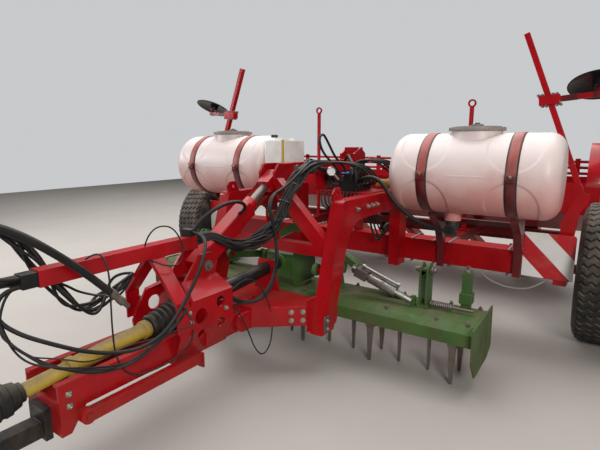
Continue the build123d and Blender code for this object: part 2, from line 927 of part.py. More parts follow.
# Power harrow trough with its end plates, posts and clevises
with BuildPart() as harrow_trough:
    with BuildSketch(across(-harrow_half)):
        with BuildLine():
            Polyline(
                (harrow_front, trough_bottom),
                (harrow_front, trough_top - 45),
                (harrow_front + 45, trough_top),
                (harrow_rear - 45, trough_top),
                (harrow_rear, trough_top - 45),
                (harrow_rear, trough_bottom),
                close=True,
            )
        make_face()
    extrude(amount=2 * harrow_half)
    with BuildSketch(Plane.XY.offset(trough_bottom)):
        with GridLocations(rotor_pitch, 0, rotor_count, 1):
            with Locations((0, rotor_y)):
                Circle(rotor_shaft + running_clearance)
    extrude(amount=60, mode=Mode.SUBTRACT)
    with BuildSketch(across(harrow_half)):
        with BuildLine():
            Polyline(
                (harrow_front - 50, trough_top + 10),
                (harrow_rear + 60, trough_top + 10),
                (harrow_rear + 90, 160),
                (harrow_rear - 20, 110),
                (harrow_front + 60, 110),
                (harrow_front - 50, 250),
                close=True,
            )
        make_face()
    extrude(amount=10)
    with BuildSketch(Plane.XY.offset(trough_top)):
        with Locations((1360, -395)):
            Rectangle(60, 60)
        with Locations((1075, -495), (1125, -495)):
            Rectangle(14, 110)
    extrude(amount=260)
    with BuildSketch(across(1082)):
        with Locations((-495, trough_top + 215)):
            Circle(16)
    extrude(amount=36)
    with BuildSketch(across(strut_foot_x - 15)):
        with Locations((strut_lug_front + 15, trough_top + 35)):
            Rectangle(30, 70)
    extrude(amount=30)
    mirror(about=Plane.YZ)
save(harrow_trough, "harrow_trough")

# Headstock over the gearbox, with the link plates
harrow_pin_y = link_y + link_run
harrow_pin_z = link_z - link_drop
top_pin_y = cross_y + cross_size / 2 + link_run
top_pin_z = top_link_z - link_drop
plate_outer = link_x - 30
with BuildPart() as harrow_headstock:
    with BuildSketch(facing(-480)):
        with BuildLine():
            Polyline(
                (0, 940),
                (60, 940),
                (930, trough_top),
                (850, trough_top),
                (60, 870),
                (0, 870),
                close=True,
            )
        make_face()
    extrude(amount=-80)
    with BuildSketch(across(plate_outer - 30)):
        with BuildLine():
            Polyline(
                (harrow_pin_y - 130, trough_top),
                (harrow_pin_y - 50, harrow_pin_z + 45),
                (harrow_pin_y + 50, harrow_pin_z + 45),
                (harrow_pin_y + 110, trough_top),
                close=True,
            )
        make_face()
    extrude(amount=30)
    with BuildSketch(across(plate_outer)):
        with Locations((harrow_pin_y, harrow_pin_z)):
            Circle(link_pin)
    extrude(amount=link_thick + 35)
    with BuildSketch(across(30)):
        with Locations((top_pin_y, top_pin_z - 18)):
            Rectangle(60, 100)
    extrude(amount=14)
    with BuildSketch(across(540)):
        with Locations((strut_lug_front + 35, 650)):
            Rectangle(70, 60)
    extrude(amount=40)
    mirror(about=Plane.YZ)
    with BuildSketch(across(-44)):
        with Locations((top_pin_y, top_pin_z)):
            Circle(small_pin_radius)
    extrude(amount=88)
save(harrow_headstock, "harrow_headstock")

with BuildPart() as harrow_gearbox:
    with BuildSketch(Plane.XY.offset(trough_top)):
        with Locations((0, -570)):
            Circle(150)
    extrude(amount=30)
    with BuildSketch(across(-125)):
        with BuildLine():
            Polyline(
                (-720, trough_top + 30),
                (-757, trough_top + 90),
                (-757, 740),
                (-700, 780),
                (-500, 780),
                (-425, 720),
                (-425, trough_top + 30),
                close=True,
            )
        make_face()
    extrude(amount=250)
    with BuildSketch(facing(-757)):
        with Locations((0, drive_at(-760))):
            Circle(58)
    extrude(amount=20)
save(harrow_gearbox, "harrow_gearbox")

# Spring struts between the headstock lugs and the trough clevises
strut_radius = 15
strut_y = strut_lug_front - strut_radius - seat_gap - 8
strut_top = (560, strut_y, 665)
strut_foot = (strut_foot_x, strut_y, trough_top + 40)
strut_dir = tuple(b - a for a, b in zip(strut_top, strut_foot))
strut_length = hypot(strut_dir[0], strut_dir[2])
with BuildPart() as harrow_struts:
    with BuildSketch(Plane(origin=strut_top, x_dir=(0, 1, 0), z_dir=strut_dir)):
        Circle(strut_radius + 8)
    extrude(amount=strut_length)
    strut_mid = tuple(a + 0.3 * d for a, d in zip(strut_top, strut_dir))
    with BuildSketch(Plane(origin=strut_mid, x_dir=(0, 1, 0), z_dir=strut_dir)):
        Circle(36)
    extrude(amount=0.45 * strut_length)
    mirror(about=Plane.YZ)
save(harrow_struts, "harrow_struts")

# Parallel lift links
link_angle = degrees(atan2(-link_drop, link_run))
link_length = hypot(link_run, link_drop)
with BuildPart() as lift_links:
    with BuildSketch(across(link_x)):
        with Locations((link_y, link_z), (harrow_pin_y, harrow_pin_z)):
            Circle(link_eye)
        with Locations(Location(((link_y + harrow_pin_y) / 2, (link_z + harrow_pin_z) / 2), link_angle)):
            Rectangle(link_length, 60)
        with Locations((link_y, link_z), (harrow_pin_y, harrow_pin_z)):
            Circle(link_pin + running_clearance, mode=Mode.SUBTRACT)
    extrude(amount=link_thick)
    mirror(about=Plane.YZ)
save(lift_links, "lift_links")

with BuildPart() as top_link:
    with BuildSketch(across(-22)):
        with Locations((cross_y + cross_size / 2, top_link_z), (top_pin_y, top_pin_z)):
            Circle(32)
        with Locations(
            Location(((cross_y + cross_size / 2 + top_pin_y) / 2, (top_link_z + top_pin_z) / 2), link_angle)
        ):
            Rectangle(link_length, 40)
        with Locations((cross_y + cross_size / 2, top_link_z), (top_pin_y, top_pin_z)):
            Circle(small_pin_radius + running_clearance, mode=Mode.SUBTRACT)
    extrude(amount=44)
save(top_link, "top_link")

# Harrow rotors, each a shaft, a holder and two tines, every second one a quarter turn on
holder_top = trough_bottom - 5
holder_bottom = holder_top - 60
for number in range(rotor_count):
    rotor_x = (number - (rotor_count - 1) / 2) * rotor_pitch
    turn = radians(90 * (number % 2))
    rotor_plane = Plane(origin=(rotor_x, rotor_y, 0), x_dir=(cos(turn), sin(turn), 0), z_dir=(0, 0, 1))
    with BuildPart() as rotor:
        with BuildSketch(rotor_plane.offset(holder_bottom)):
            Rectangle(2 * tine_reach + 30, 60)
        extrude(amount=25)
        with BuildSketch(rotor_plane.offset(holder_bottom)):
            Circle(60)
        extrude(amount=60)
        with BuildSketch(rotor_plane.offset(holder_top)):
            Circle(rotor_shaft)
        extrude(amount=60)
        for reach in (-tine_reach, tine_reach):
            tine_plane = Plane(
                origin=(rotor_x + reach * cos(turn), rotor_y + reach * sin(turn), 0),
                x_dir=(-sin(turn), cos(turn), 0),
                z_dir=(cos(turn), sin(turn), 0),
            )
            with BuildSketch(tine_plane.offset(-tine_thick / 2)):
                with BuildLine():
                    Polyline(
                        (-tine_width / 2, holder_bottom),
                        (tine_width / 2, holder_bottom),
                        (tine_width / 5, 0),
                        (-tine_width / 5, 0),
                        close=True,
                    )
                make_face()
            extrude(amount=tine_thick)
    save(rotor, f"rotor_{number + 1:02d}")

# Liquid tanks, lids and cradles
shoulder_x = tank_length / 2
for side, side_name in ((1, "left"), (-1, "right")):
    with BuildPart() as tank:
        with BuildSketch(Plane(origin=(side * tank_x, tank_y, tank_z), x_dir=(1, 0, 0), z_dir=(0, -1, 0))):
            with BuildLine():
                Line((-shoulder_x, 0), (shoulder_x, 0))
                Line((shoulder_x, 0), (shoulder_x, tank_radius - tank_shoulder))
                RadiusArc(
                    (shoulder_x, tank_radius - tank_shoulder),
                    (shoulder_x - tank_shoulder, tank_radius),
                    -tank_shoulder,
                )
                Line((shoulder_x - tank_shoulder, tank_radius), (tank_shoulder - shoulder_x, tank_radius))
                RadiusArc(
                    (tank_shoulder - shoulder_x, tank_radius),
                    (-shoulder_x, tank_radius - tank_shoulder),
                    -tank_shoulder,
                )
                Line((-shoulder_x, tank_radius - tank_shoulder), (-shoulder_x, 0))
            make_face()
        revolve(axis=Axis((side * tank_x, tank_y, tank_z), (1, 0, 0)))
        with BuildSketch(Plane.XY.offset(tank_z + tank_radius - 60)):
            with Locations((side * tank_x, tank_y)):
                Circle(neck_radius)
        extrude(amount=neck_top - tank_z - tank_radius + 60)
        with BuildSketch(Plane.XY.offset(tank_z - tank_radius - 60)):
            with Locations((side * (tank_x - 140), tank_y)):
                Circle(65)
        extrude(amount=100)
    save(tank, f"tank_{side_name}")

with BuildPart() as tank_lids:
    for lid_x in (-tank_x, tank_x):
        with BuildSketch(Plane.XY.offset(neck_top)):
            with Locations((lid_x, tank_y)):
                Circle(lid_radius)
        extrude(amount=lid_thick)
        with BuildSketch(Plane.XY.offset(neck_top + lid_thick)):
            with Locations((lid_x, tank_y)):
                Circle(38)
        extrude(amount=16)
save(tank_lids, "tank_lids")

strap_inner = tank_radius + seat_gap
strap_outer = strap_inner + strap_thick
with BuildPart() as tank_cradles:
    for strap_x in (tank_x - strap_spread, tank_x + strap_spread):
        with BuildSketch(across(strap_x - strap_width / 2)):
            with BuildLine():
                Polyline(
                    (toolbar_front, rear_leg_foot + 20),
                    (toolbar_front, tank_z),
                    (tank_y, tank_z),
                    (tank_y, tank_z - tank_radius - 45),
                    (tank_y + 170, tank_z - tank_radius - 150),
                    (toolbar_front - 30, toolbar_top - 40),
                    (toolbar_front - 30, rear_leg_foot + 20),
                    close=True,
                )
            make_face()
            with Locations((tank_y, tank_z)):
                Circle(strap_outer, mode=Mode.SUBTRACT)
                Circle(strap_outer)
                Circle(strap_inner, mode=Mode.SUBTRACT)
            with Locations((tank_y - strap_outer - 8, tank_z)):
                Rectangle(18, 70)
        extrude(amount=strap_width)
    with BuildSketch(across(tank_x - strap_spread)):
        with Locations((tank_y + 250, tank_z - tank_radius - 100)):
            Rectangle(40, 40)
    extrude(amount=2 * strap_spread)
    mirror(about=Plane.YZ)
save(tank_cradles, "tank_cradles")

# Hazard boards, two ahead on the toolbar and two at the tail
board_size = 423
board_thick = 4
front_board = 360
front_board_x = 1585
with BuildPart() as hazard_boards:
    with BuildSketch(facing(toolbar_front)):
        with Locations((front_board_x + front_board / 2, toolbar_top - 15)):
            Rectangle(front_board, front_board)
    extrude(amount=board_thick)
    with BuildSketch(facing(rail_rear + 20)):
        with Locations((1490, rail_top - 80 + board_size / 2)):
            Rectangle(board_size, board_size)
    extrude(amount=-board_thick)
    mirror(about=Plane.YZ)
save(hazard_boards, "hazard_boards")

# Rear frame rails, and the cross tube under them
with BuildPart() as chassis:
    for rail_at in (-rail_x, rail_x):
        with BuildSketch(facing(toolbar_rear)):
            with Locations((rail_at, (rail_bottom + rail_top) / 2)):
                Rectangle(rail_width, rail_top - rail_bottom)
        extrude(amount=toolbar_rear - rail_rear)
save(chassis, "chassis")

with BuildPart() as rear_cross:
    with BuildSketch(across(-2 * row_pitch)):
        with Locations((rear_cross_y + 50, rail_bottom - 50)):
            Rectangle(100, 100)
    extrude(amount=4 * row_pitch)
save(rear_cross, "rear_cross")

# Seed hopper, a folded trough between two deep end boxes
hopper_side = [
    (hopper_front, hopper_lip),
    (hopper_front, hopper_shoulder),
    (floor_front, rail_top),
    (floor_rear, rail_top),
    (hopper_rear, 1000),
    (hopper_rear, hopper_lip),
]
end_side = [
    (hopper_front, hopper_shoulder),
    (floor_front, rail_top),
    (floor_rear, rail_top),
    (hopper_rear, 1000),
    (hopper_rear, hopper_end_top),
    (hopper_front + 420, hopper_end_top),
]
trough_half = hopper_half - hopper_end_width
with BuildPart() as hopper:
    with BuildSketch(across(-trough_half)) as trough_sketch:
        with BuildLine():
            Polyline(*hopper_side, close=True)
        make_face()
        offset(amount=-hopper_wall, mode=Mode.SUBTRACT)
        with Locations(((hopper_front + hopper_rear) / 2, hopper_lip)):
            Rectangle(hopper_rear - hopper_front - 2 * hopper_wall, 3 * hopper_wall, mode=Mode.SUBTRACT)
    extrude(amount=2 * trough_half)
    with BuildSketch(across(trough_half)):
        with BuildLine():
            Polyline(*end_side)
            ThreePointArc(
                end_side[-1], (hopper_front + 130, hopper_end_top - 110), (hopper_front, hopper_end_top - 400)
            )
            Line((hopper_front, hopper_end_top - 400), end_side[0])
        make_face()
    extrude(amount=hopper_end_width)
    mirror(about=Plane.YZ)
save(hopper, "hopper")

# Guard rail of four bars behind the hopper
bar_radius = 16
post_x = (-1800, -600, 600, 1800)
with BuildPart() as hopper_rail:
    with BuildSketch(across(-1900)):
        with Locations(*[(hopper_rear + 20 + bar_radius, 1200 + 65 * bar) for bar in range(4)]):
            Circle(bar_radius)
    extrude(amount=3800)
    for post_at in post_x:
        with BuildSketch(facing(hopper_rear)):
            with Locations((post_at, 1260)):
                Rectangle(50, 340)
        extrude(amount=-24)
save(hopper_rail, "hopper_rail")

# Planting elements, each two side plates, a rear duct and a furrow opener
unit_mid = (unit_front + unit_rear) / 2
unit_radius = (unit_rear - unit_front) / 2
with BuildPart() as planting_units:
    for row in row_x:
        for plate_x in (row - unit_half, row + unit_half - unit_wall):
            with BuildSketch(across(plate_x)):
                with Locations((unit_mid, (unit_bottom + pulley_high) / 2)):
                    Rectangle(unit_rear - unit_front, pulley_high - unit_bottom)
                with Locations((unit_mid, pulley_high)):
                    Circle(unit_radius)
            extrude(amount=unit_wall)
        with BuildSketch(Plane.XY.offset(unit_bottom)):
            with Locations((row, unit_rear - unit_wall / 2)):
                Rectangle(2 * unit_half, unit_wall)
        extrude(amount=pulley_high - unit_bottom)
        with BuildSketch(Plane.XY.offset(20)):
            with BuildLine():
                Polyline(
                    (row, unit_front - 90),
                    (row + 60, unit_front + 40),
                    (row + 60, unit_rear - 60),
                    (row - 60, unit_rear - 60),
                    (row - 60, unit_front + 40),
                    close=True,
                )
            make_face()
        extrude(amount=unit_bottom - 10)
        with BuildSketch(Plane.XY.offset(unit_bottom - 10)):
            with Locations((row, unit_mid)):
                Rectangle(2 * unit_half, unit_rear - unit_front)
        extrude(amount=20)
        for mount_x in (row - unit_half, row + unit_half - unit_wall):
            with BuildSketch(across(mount_x)):
                with Locations(((rear_cross_y + 100 + unit_front) / 2, rail_bottom - 50)):
                    Rectangle(unit_front - rear_cross_y - 100, 160)
            extrude(amount=unit_wall)
save(planting_units, "planting_units")

# Cup belts, a band with cups round two pulleys in each element
belt_outer = pulley_radius + belt_thick
belt_run = pulley_high - pulley_low
with BuildPart() as cup_belts:
    for row in row_x:
        with BuildSketch(across(row - belt_width / 2)):
            with Locations((unit_mid, (pulley_low + pulley_high) / 2)):
                Rectangle(2 * belt_outer, belt_run)
                Rectangle(2 * pulley_radius, belt_run, mode=Mode.SUBTRACT)
            for pulley_z in (pulley_low, pulley_high):
                with Locations((unit_mid, pulley_z)):
                    Circle(belt_outer)
        extrude(amount=belt_width)
        with BuildSketch(across(row - unit_half + unit_wall)):
            with Locations((unit_mid, pulley_low), (unit_mid, pulley_high)):
                Circle(14)
        extrude(amount=2 * (unit_half - unit_wall))
        for step in range(cup_pitch_count):
            cup_z = pulley_low + belt_run * (step + 0.5) / cup_pitch_count
            for cup_side in (-1, 1):
                with BuildSketch(Plane.XY.offset(cup_z)):
                    with Locations((row, unit_mid + cup_side * (belt_outer + 13))):
                        Rectangle(70, 26)
                extrude(amount=24)
save(cup_belts, "cup_belts")

# Ridging hood, a folded sheet over the four ridges, hung from the rear frame
hood_top = []
for row in row_x:
    hood_top += [(row - row_pitch / 2, valley_z), (row - 130, ridge_top), (row + 130, ridge_top)]
hood_top += [(row_x[-1] + row_pitch / 2, valley_z)]
hood_points = hood_top + [(x, z + hood_wall) for x, z in reversed(hood_top)]
with BuildPart() as ridging_hood:
    with BuildSketch(facing(hood_front)):
        with BuildLine():
            Polyline(*hood_points, close=True)
        make_face()
    extrude(amount=-hood_length)
    for skid_x in (-row_pitch * 2, row_pitch * 2 - 10):
        with BuildSketch(across(skid_x)):
            with Locations((hood_front + hood_length / 2, valley_z)):
                Rectangle(hood_length, 2 * valley_z)
        extrude(amount=10)
    with BuildSketch(across(-1500)):
        with Locations((hood_front + 180, ridge_top + hood_wall + 40)):
            Rectangle(80, 80)
    extrude(amount=3000)
    for hanger_x in (-rail_x, rail_x):
        with BuildSketch(Plane.XY.offset(ridge_top + hood_wall + 80)):
            with Locations((hanger_x, hood_front + 180)):
                Rectangle(80, 80)
        extrude(amount=rail_bottom - ridge_top - hood_wall - 80)
save(ridging_hood, "ridging_hood")

# Tail light bar
with BuildPart() as light_bar:
    with BuildSketch(facing(rail_rear)):
        with Locations((0, rail_top - 40)):
            Rectangle(3400, 80)
    extrude(amount=-20)
    with BuildSketch(facing(rail_rear + 20)):
        with Locations((-1130, rail_top - 40), (1130, rail_top - 40)):
            Rectangle(240, 110)
    extrude(amount=-55)
save(light_bar, "light_bar")

# Water canister on its shelf
canister_z = arch_top + 200
with BuildPart() as canister:
    with BuildSketch(Plane.XY.offset(canister_z)):
        with Locations((-arch_x + 40, 0)):
            RectangleRounded(230, 370, 30)
    extrude(amount=220)
    with BuildSketch(Plane.XY.offset(canister_z + 220)):
        with Locations((-arch_x + 40, -120)):
            Circle(32)
        with Locations((-arch_x + 40, 40)):
            Rectangle(30, 180)
    extrude(amount=30)
save(canister, "canister")

# Valve block on the side of the top beam
with BuildPart() as valve_block:
    with BuildSketch(Plane.XY.offset(arch_top + shelf_thick)):
        for unit in range(valve_count):
            with Locations((valve_x, shelf_y - 120 + valve_pitch * unit)):
                Rectangle(150, valve_pitch - 8)
        with Locations((valve_x, shelf_y - 120 + valve_pitch * (valve_count - 1) / 2)):
            Rectangle(120, valve_pitch * valve_count)
    extrude(amount=90)
    with BuildSketch(Plane.XY.offset(arch_top + shelf_thick + 90)):
        for unit in range(valve_count):
            with Locations((valve_x, shelf_y - 120 + valve_pitch * unit)):
                Rectangle(60, valve_pitch - 18)
    extrude(amount=52)
    for port_x in (valve_x - 75 - 22, valve_x + 75):
        with BuildSketch(across(port_x)):
            for unit in range(valve_count):
                with Locations((shelf_y - 120 + valve_pitch * unit, arch_top + shelf_thick + 48)):
                    Circle(15)
        extrude(amount=22)
save(valve_block, "valve_block")

# Masts on the rear rails
mast_y = 1255
mast_top = 1960
with BuildPart() as masts:
    for mast_x in (-rail_x, rail_x):
        with BuildSketch(Plane.XY.offset(rail_top)):
            with Locations((mast_x, mast_y)):
                Rectangle(90, 90)
        extrude(amount=12)
        with BuildSketch(Plane.XY.offset(rail_top + 12)):
            with Locations((mast_x, mast_y)):
                Circle(21)
        extrude(amount=mast_top - rail_top - 12)
        with BuildSketch(facing(mast_y + 8)):
            with Locations((mast_x, mast_top + 30)):
                Circle(40)
                Circle(24, mode=Mode.SUBTRACT)
        extrude(amount=16)
save(masts, "masts")

# Marker arms, leaning inward from their lugs, and their discs
lean = radians(marker_lean)
bracket_rise = radians(5)
disc_tilt = radians(24)
for side, side_name in ((1, "left"), (-1, "right")):
    arm_dir = (-side * sin(lean), 0, cos(lean))
    out_dir = (side * cos(bracket_rise), 0, sin(bracket_rise))
    disc_dir = (-cos(disc_tilt) * side * sin(bracket_rise), sin(disc_tilt), cos(disc_tilt) * cos(bracket_rise))

    def arm_point(along, out=0):
        """A point on the arm, along it from the pivot and out from it square."""
        return (
            side * marker_x + along * arm_dir[0] + out * out_dir[0],
            marker_y,
            marker_z + along * arm_dir[2] + out * out_dir[2],
        )

    with BuildPart() as marker_part:
        with BuildSketch(Plane(origin=arm_point(0), x_dir=(0, 1, 0), z_dir=arm_dir)):
            Rectangle(marker_arm_depth, marker_arm)
        extrude(amount=marker_length)
        with BuildSketch(facing(marker_y - marker_arm_depth / 2)):
            with Locations((side * marker_x, marker_z)):
                Circle(marker_boss)
        extrude(amount=-marker_arm_depth)
        with BuildSketch(Plane(origin=arm_point(disc_along, -70), x_dir=(0, 1, 0), z_dir=out_dir)):
            Rectangle(2 * marker_arm, 70)
        extrude(amount=140)
        with BuildSketch(Plane(origin=arm_point(disc_along, 20), x_dir=(0, 1, 0), z_dir=out_dir)):
            Rectangle(bracket_size, bracket_size)
        extrude(amount=disc_out)
        with BuildSketch(Plane(origin=arm_point(disc_along, disc_out), x_dir=out_dir, z_dir=disc_dir)):
            Circle(small_pin_radius)
        extrude(amount=disc_seat + 62)
        with BuildSketch(facing(marker_y - marker_arm_depth / 2 - 1)):
            with Locations((side * marker_x, marker_z)):
                Circle(small_pin_radius + running_clearance)
        extrude(amount=-marker_arm_depth - 2, mode=Mode.SUBTRACT)
    save(marker_part, f"marker_arm_{side_name}")

    with BuildPart() as marker_disc:
        disc_bore = small_pin_radius + running_clearance
        disc_plane = Plane(origin=arm_point(disc_along, disc_out), x_dir=out_dir, z_dir=disc_dir)
        with BuildSketch(Plane(origin=disc_plane.origin, x_dir=disc_plane.x_dir, z_dir=-disc_plane.y_dir)):
            with BuildLine():
                Line((disc_bore, disc_seat + 62), (60, disc_seat + 62))
                ThreePointArc((60, disc_seat + 62), (140, disc_seat + 50), (disc_radius, disc_seat + 24))
                Line((disc_radius, disc_seat + 24), (disc_radius - 4, disc_seat + 18))
                ThreePointArc((disc_radius - 4, disc_seat + 18), (138, disc_seat + 43), (60, disc_seat + 54))
                Polyline((60, disc_seat + 54), (48, disc_seat + 54), (44, disc_seat), (disc_bore, disc_seat))
                Line((disc_bore, disc_seat), (disc_bore, disc_seat + 62))
            make_face()
        revolve(axis=Axis(disc_plane.origin, disc_plane.z_dir))
    save(marker_disc, f"marker_disc_{side_name}")
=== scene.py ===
# %% [markdown]
# # A trailed potato planter, dressed for its portrait
# The machine comes in as a set of plain solids that already have the right size and place.
# This notebook gives every solid a worn, dusty surface and adds what is too fine for the solids:
# tread, nuts, clamps, hoses and buckles. Each lesson says what a piece is and how it could be made.

# %% Load the frame
import bpy
import bmesh
import random
from math import cos, pi, radians, sin
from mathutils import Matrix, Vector


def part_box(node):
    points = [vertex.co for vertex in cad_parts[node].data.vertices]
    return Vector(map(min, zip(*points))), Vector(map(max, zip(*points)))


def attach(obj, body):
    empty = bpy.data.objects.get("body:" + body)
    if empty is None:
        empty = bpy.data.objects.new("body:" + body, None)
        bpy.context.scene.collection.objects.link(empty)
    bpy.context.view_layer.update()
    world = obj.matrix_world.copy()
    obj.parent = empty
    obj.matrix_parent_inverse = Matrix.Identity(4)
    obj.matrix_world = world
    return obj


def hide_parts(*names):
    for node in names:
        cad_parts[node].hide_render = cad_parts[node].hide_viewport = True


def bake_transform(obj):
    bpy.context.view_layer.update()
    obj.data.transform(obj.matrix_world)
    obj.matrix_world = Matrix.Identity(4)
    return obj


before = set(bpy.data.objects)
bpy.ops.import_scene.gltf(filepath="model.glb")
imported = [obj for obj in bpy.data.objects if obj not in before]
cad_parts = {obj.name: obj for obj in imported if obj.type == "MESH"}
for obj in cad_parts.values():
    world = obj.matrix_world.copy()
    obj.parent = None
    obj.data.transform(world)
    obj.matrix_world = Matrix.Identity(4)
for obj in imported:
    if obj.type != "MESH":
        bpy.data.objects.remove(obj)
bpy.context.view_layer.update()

# %% [markdown]
# ## The camera
# The camera stands ahead of the machine and to its left, near eye height, and looks slightly down.
# The lens and the two angles were worked out from the round tyre and the square boards.

# %% Camera
camera = bpy.data.objects.new("camera", bpy.data.cameras.new("camera"))
camera.data.lens = 26.7
camera.data.sensor_width = 36
camera.location = (2.08, -3.495, 1.60)
camera.rotation_euler = (radians(90 - 10.43), 0, radians(34.5))
camera.data.clip_end = 60
bpy.context.collection.objects.link(camera)
bpy.context.scene.camera = camera
print("camera at", tuple(camera.location))

# %% [markdown]
# ## Arithmetic on shader sockets
# A surface is easier to read as a formula than as a web of wires. `V` holds one output of a node and
# answers to plus, minus, times and the rest with a new maths node. `Look` is a material while it is made.

# %% Shader formulas
class V:
    """One output of a shader node, on which arithmetic works."""

    def __init__(self, look, socket):
        self.look = look
        self.socket = socket

    def maths(self, operation, *others):
        return self.look.node("ShaderNodeMath", {"operation": operation}, self, *others)

    def __add__(self, other):
        return self.maths("ADD", other)

    __radd__ = __add__

    def __mul__(self, other):
        return self.maths("MULTIPLY", other)

    __rmul__ = __mul__

    def __sub__(self, other):
        return self.maths("SUBTRACT", other)

    def __truediv__(self, other):
        return self.maths("DIVIDE", other)

    def band(self, low, high):
        """0 below low, 1 above high, smooth between. A low that lies above high turns it round."""
        settings = {"interpolation_type": "SMOOTHSTEP"}
        return self.look.node("ShaderNodeMapRange", settings, self, low, high, 0.0, 1.0)

    def most(self, other):
        return self.maths("MAXIMUM", other)


class Look:
    """A material while it is made: its nodes, and the shader that they end in."""

    def __init__(self, name):
        self.material = bpy.data.materials.new(name)
        self.material.use_nodes = True
        self.tree = self.material.node_tree
        self.shader = self.tree.nodes["Principled BSDF"]
        self.place = self.node("ShaderNodeTexCoord", out="Object")

    def feed(self, socket, value):
        if isinstance(value, V):
            self.tree.links.new(value.socket, socket)
        elif isinstance(value, tuple) and socket.type == "RGBA":
            socket.default_value = (*value, 1.0)
        else:
            socket.default_value = value

    def node(self, kind, settings=None, *values, out=0, **named):
        """Adds a node of a kind: its settings first, then its sockets in order, then those by name."""
        made = self.tree.nodes.new(kind)
        for key, value in (settings or {}).items():
            setattr(made, key, value)
        for socket, value in zip(made.inputs, values):
            self.feed(socket, value)
        for key, value in named.items():
            self.feed(made.inputs[key.replace("_", " ")], value)
        return V(self, made.outputs[out])

    def noise(self, scale, detail=4.0, stretch=None):
        place = self.stretched(stretch) if stretch else self.place
        return self.node("ShaderNodeTexNoise", None, Vector=place, Scale=scale, Detail=detail, Roughness=0.6)

    def stretched(self, factors):
        return self.node("ShaderNodeVectorMath", {"operation": "MULTIPLY"}, self.place, factors)

    def axis(self, letter):
        return self.node("ShaderNodeSeparateXYZ", None, self.place, out=letter)

    def upward(self):
        """1 on faces that look up, 0 on walls, -1 below."""
        normal = self.node("ShaderNodeNewGeometry", out="Normal")
        return self.node("ShaderNodeSeparateXYZ", None, normal, out="Z")

    def mix(self, share, under, over):
        made = self.tree.nodes.new("ShaderNodeMix")
        made.data_type = "RGBA"
        self.feed(made.inputs["Factor"], share)
        self.feed(made.inputs[6], under)
        self.feed(made.inputs[7], over)
        return V(self, made.outputs[2])

    def bump(self, height, distance, strength=1.0):
        raised = self.node("ShaderNodeBump", None, Strength=strength, Distance=distance, Height=height)
        self.feed(self.shader.inputs["Normal"], raised)

    def wear(self, **inputs):
        for key, value in inputs.items():
            self.feed(self.shader.inputs[key.replace("_", " ")], value)
        return self


print("formulas ready:", V.__name__, "and", Look.__name__)

# %% [markdown]
# ## Paint that has worked in a field
# Enamel starts glossy and even. Work adds three layers: a thin pale dust that settles on top faces,
# dried soil that splashes up from below, and small chips where tools and stones hit. Each is a mask made
# from noise, and the masks decide how much of a dull colour covers the enamel.

# %% Paint
DUST = (0.36, 0.26, 0.20)
SOIL = (0.105, 0.068, 0.045)
RUST = (0.13, 0.045, 0.02)


def paint(name, colour, dust=0.5, soil=0.5, chips=0.5, gloss=0.32):
    look = Look(name)
    patches = look.noise(3.1, 5.0)
    fine = look.noise(38.0, 3.0)
    streaks = look.noise(9.0, 4.0, (1.0, 1.0, 0.15))
    top = look.upward().band(-0.2, 1.0)
    film = ((patches * 0.75 + fine * 0.3 + top * 0.4) - 0.35).band(0.42, 0.95) * dust
    low = look.axis("Z").band(1.25, 0.1)
    splash = (low * 0.55 + streaks * 0.75 + fine * 0.3).band(0.86, 1.18) * soil
    chipped = (look.noise(70.0, 5.0) * 0.75 + patches * 0.35).band(0.715, 0.735) * chips
    deep = tuple(part * 0.66 for part in colour)
    base = look.mix(patches.band(0.32, 0.72), colour, deep)
    dusty = look.mix(film, base, DUST)
    soiled = look.mix(splash, dusty, SOIL)
    look.wear(Base_Color=look.mix(chipped, soiled, RUST))
    look.wear(Roughness=film * 0.45 + splash * 0.45 + chipped * 0.3 + fine * 0.08 + gloss)
    look.wear(Coat_Weight=(film * -1.0 - splash + 0.22).most(0.0))
    look.shader.inputs["Coat Roughness"].default_value = 0.12
    look.shader.inputs["Specular IOR Level"].default_value = 0.18
    look.bump(splash * 0.6 - chipped * 0.5 + fine * 0.12 + look.noise(160.0, 2.0) * 0.05, 0.0012)
    return look.material


def strap_paint():
    """Painted light: a lighter, pinker red above the buckles as painted sheen, and a dark red below them as
    painted shade.
    """
    look = Look("strap_paint")
    patches = look.noise(5.0, 5.0)
    fine = look.noise(45.0, 3.0)
    # painted light and shade: the upper half is lit and pinkish, the lower half is painted dark as shade
    high = look.axis("Z").band(1.35, 1.40)
    painted_light_above = look.mix(patches.band(0.3, 0.7), (0.36, 0.085, 0.07), (0.25, 0.05, 0.04))
    painted_shade_below = look.mix(patches.band(0.35, 0.7), (0.13, 0.008, 0.012), (0.07, 0.006, 0.008))
    grime = (patches * 0.6 + fine * 0.4).band(0.5, 0.75)
    look.wear(Base_Color=look.mix(grime * 0.35, look.mix(high, painted_shade_below, painted_light_above), SOIL))
    look.wear(Roughness=high * 0.22 + grime * 0.2 + 0.3)
    look.bump(fine * 0.3 + grime * 0.4, 0.0008)
    return look.material


red = paint("red_enamel", (0.36, 0.002, 0.006), dust=0.10, soil=0.30, chips=0.6)
# A darker copy of the red for the chassis, rear cross, units, hood and rims: painted shade, with more soil
# as real dirt.
red_shaded_soiled = paint("red_enamel_shaded_soiled", (0.20, 0.002, 0.005), dust=0.14, soil=0.6)
green = paint("green_enamel", (0.055, 0.125, 0.030), dust=0.60, soil=0.55, gloss=0.42)
clamp_red = paint("clamp_red", (0.11, 0.008, 0.010), dust=0.45, soil=0.5, chips=1.0, gloss=0.45)
black = paint("black_enamel", (0.014, 0.014, 0.015), dust=0.3, soil=0.5)
straps = strap_paint()
print("enamel:", ", ".join(made.name for made in (red, red_shaded_soiled, green, black, straps)))

# %% [markdown]
# ## Moulded tank plastic
# A liquid tank is spun from milky polyethylene. It lets a little light in, so its shade is soft, and the
# liquid once stood at a level that left a pinkish stain. The mould leaves shallow curved lines on the shell.

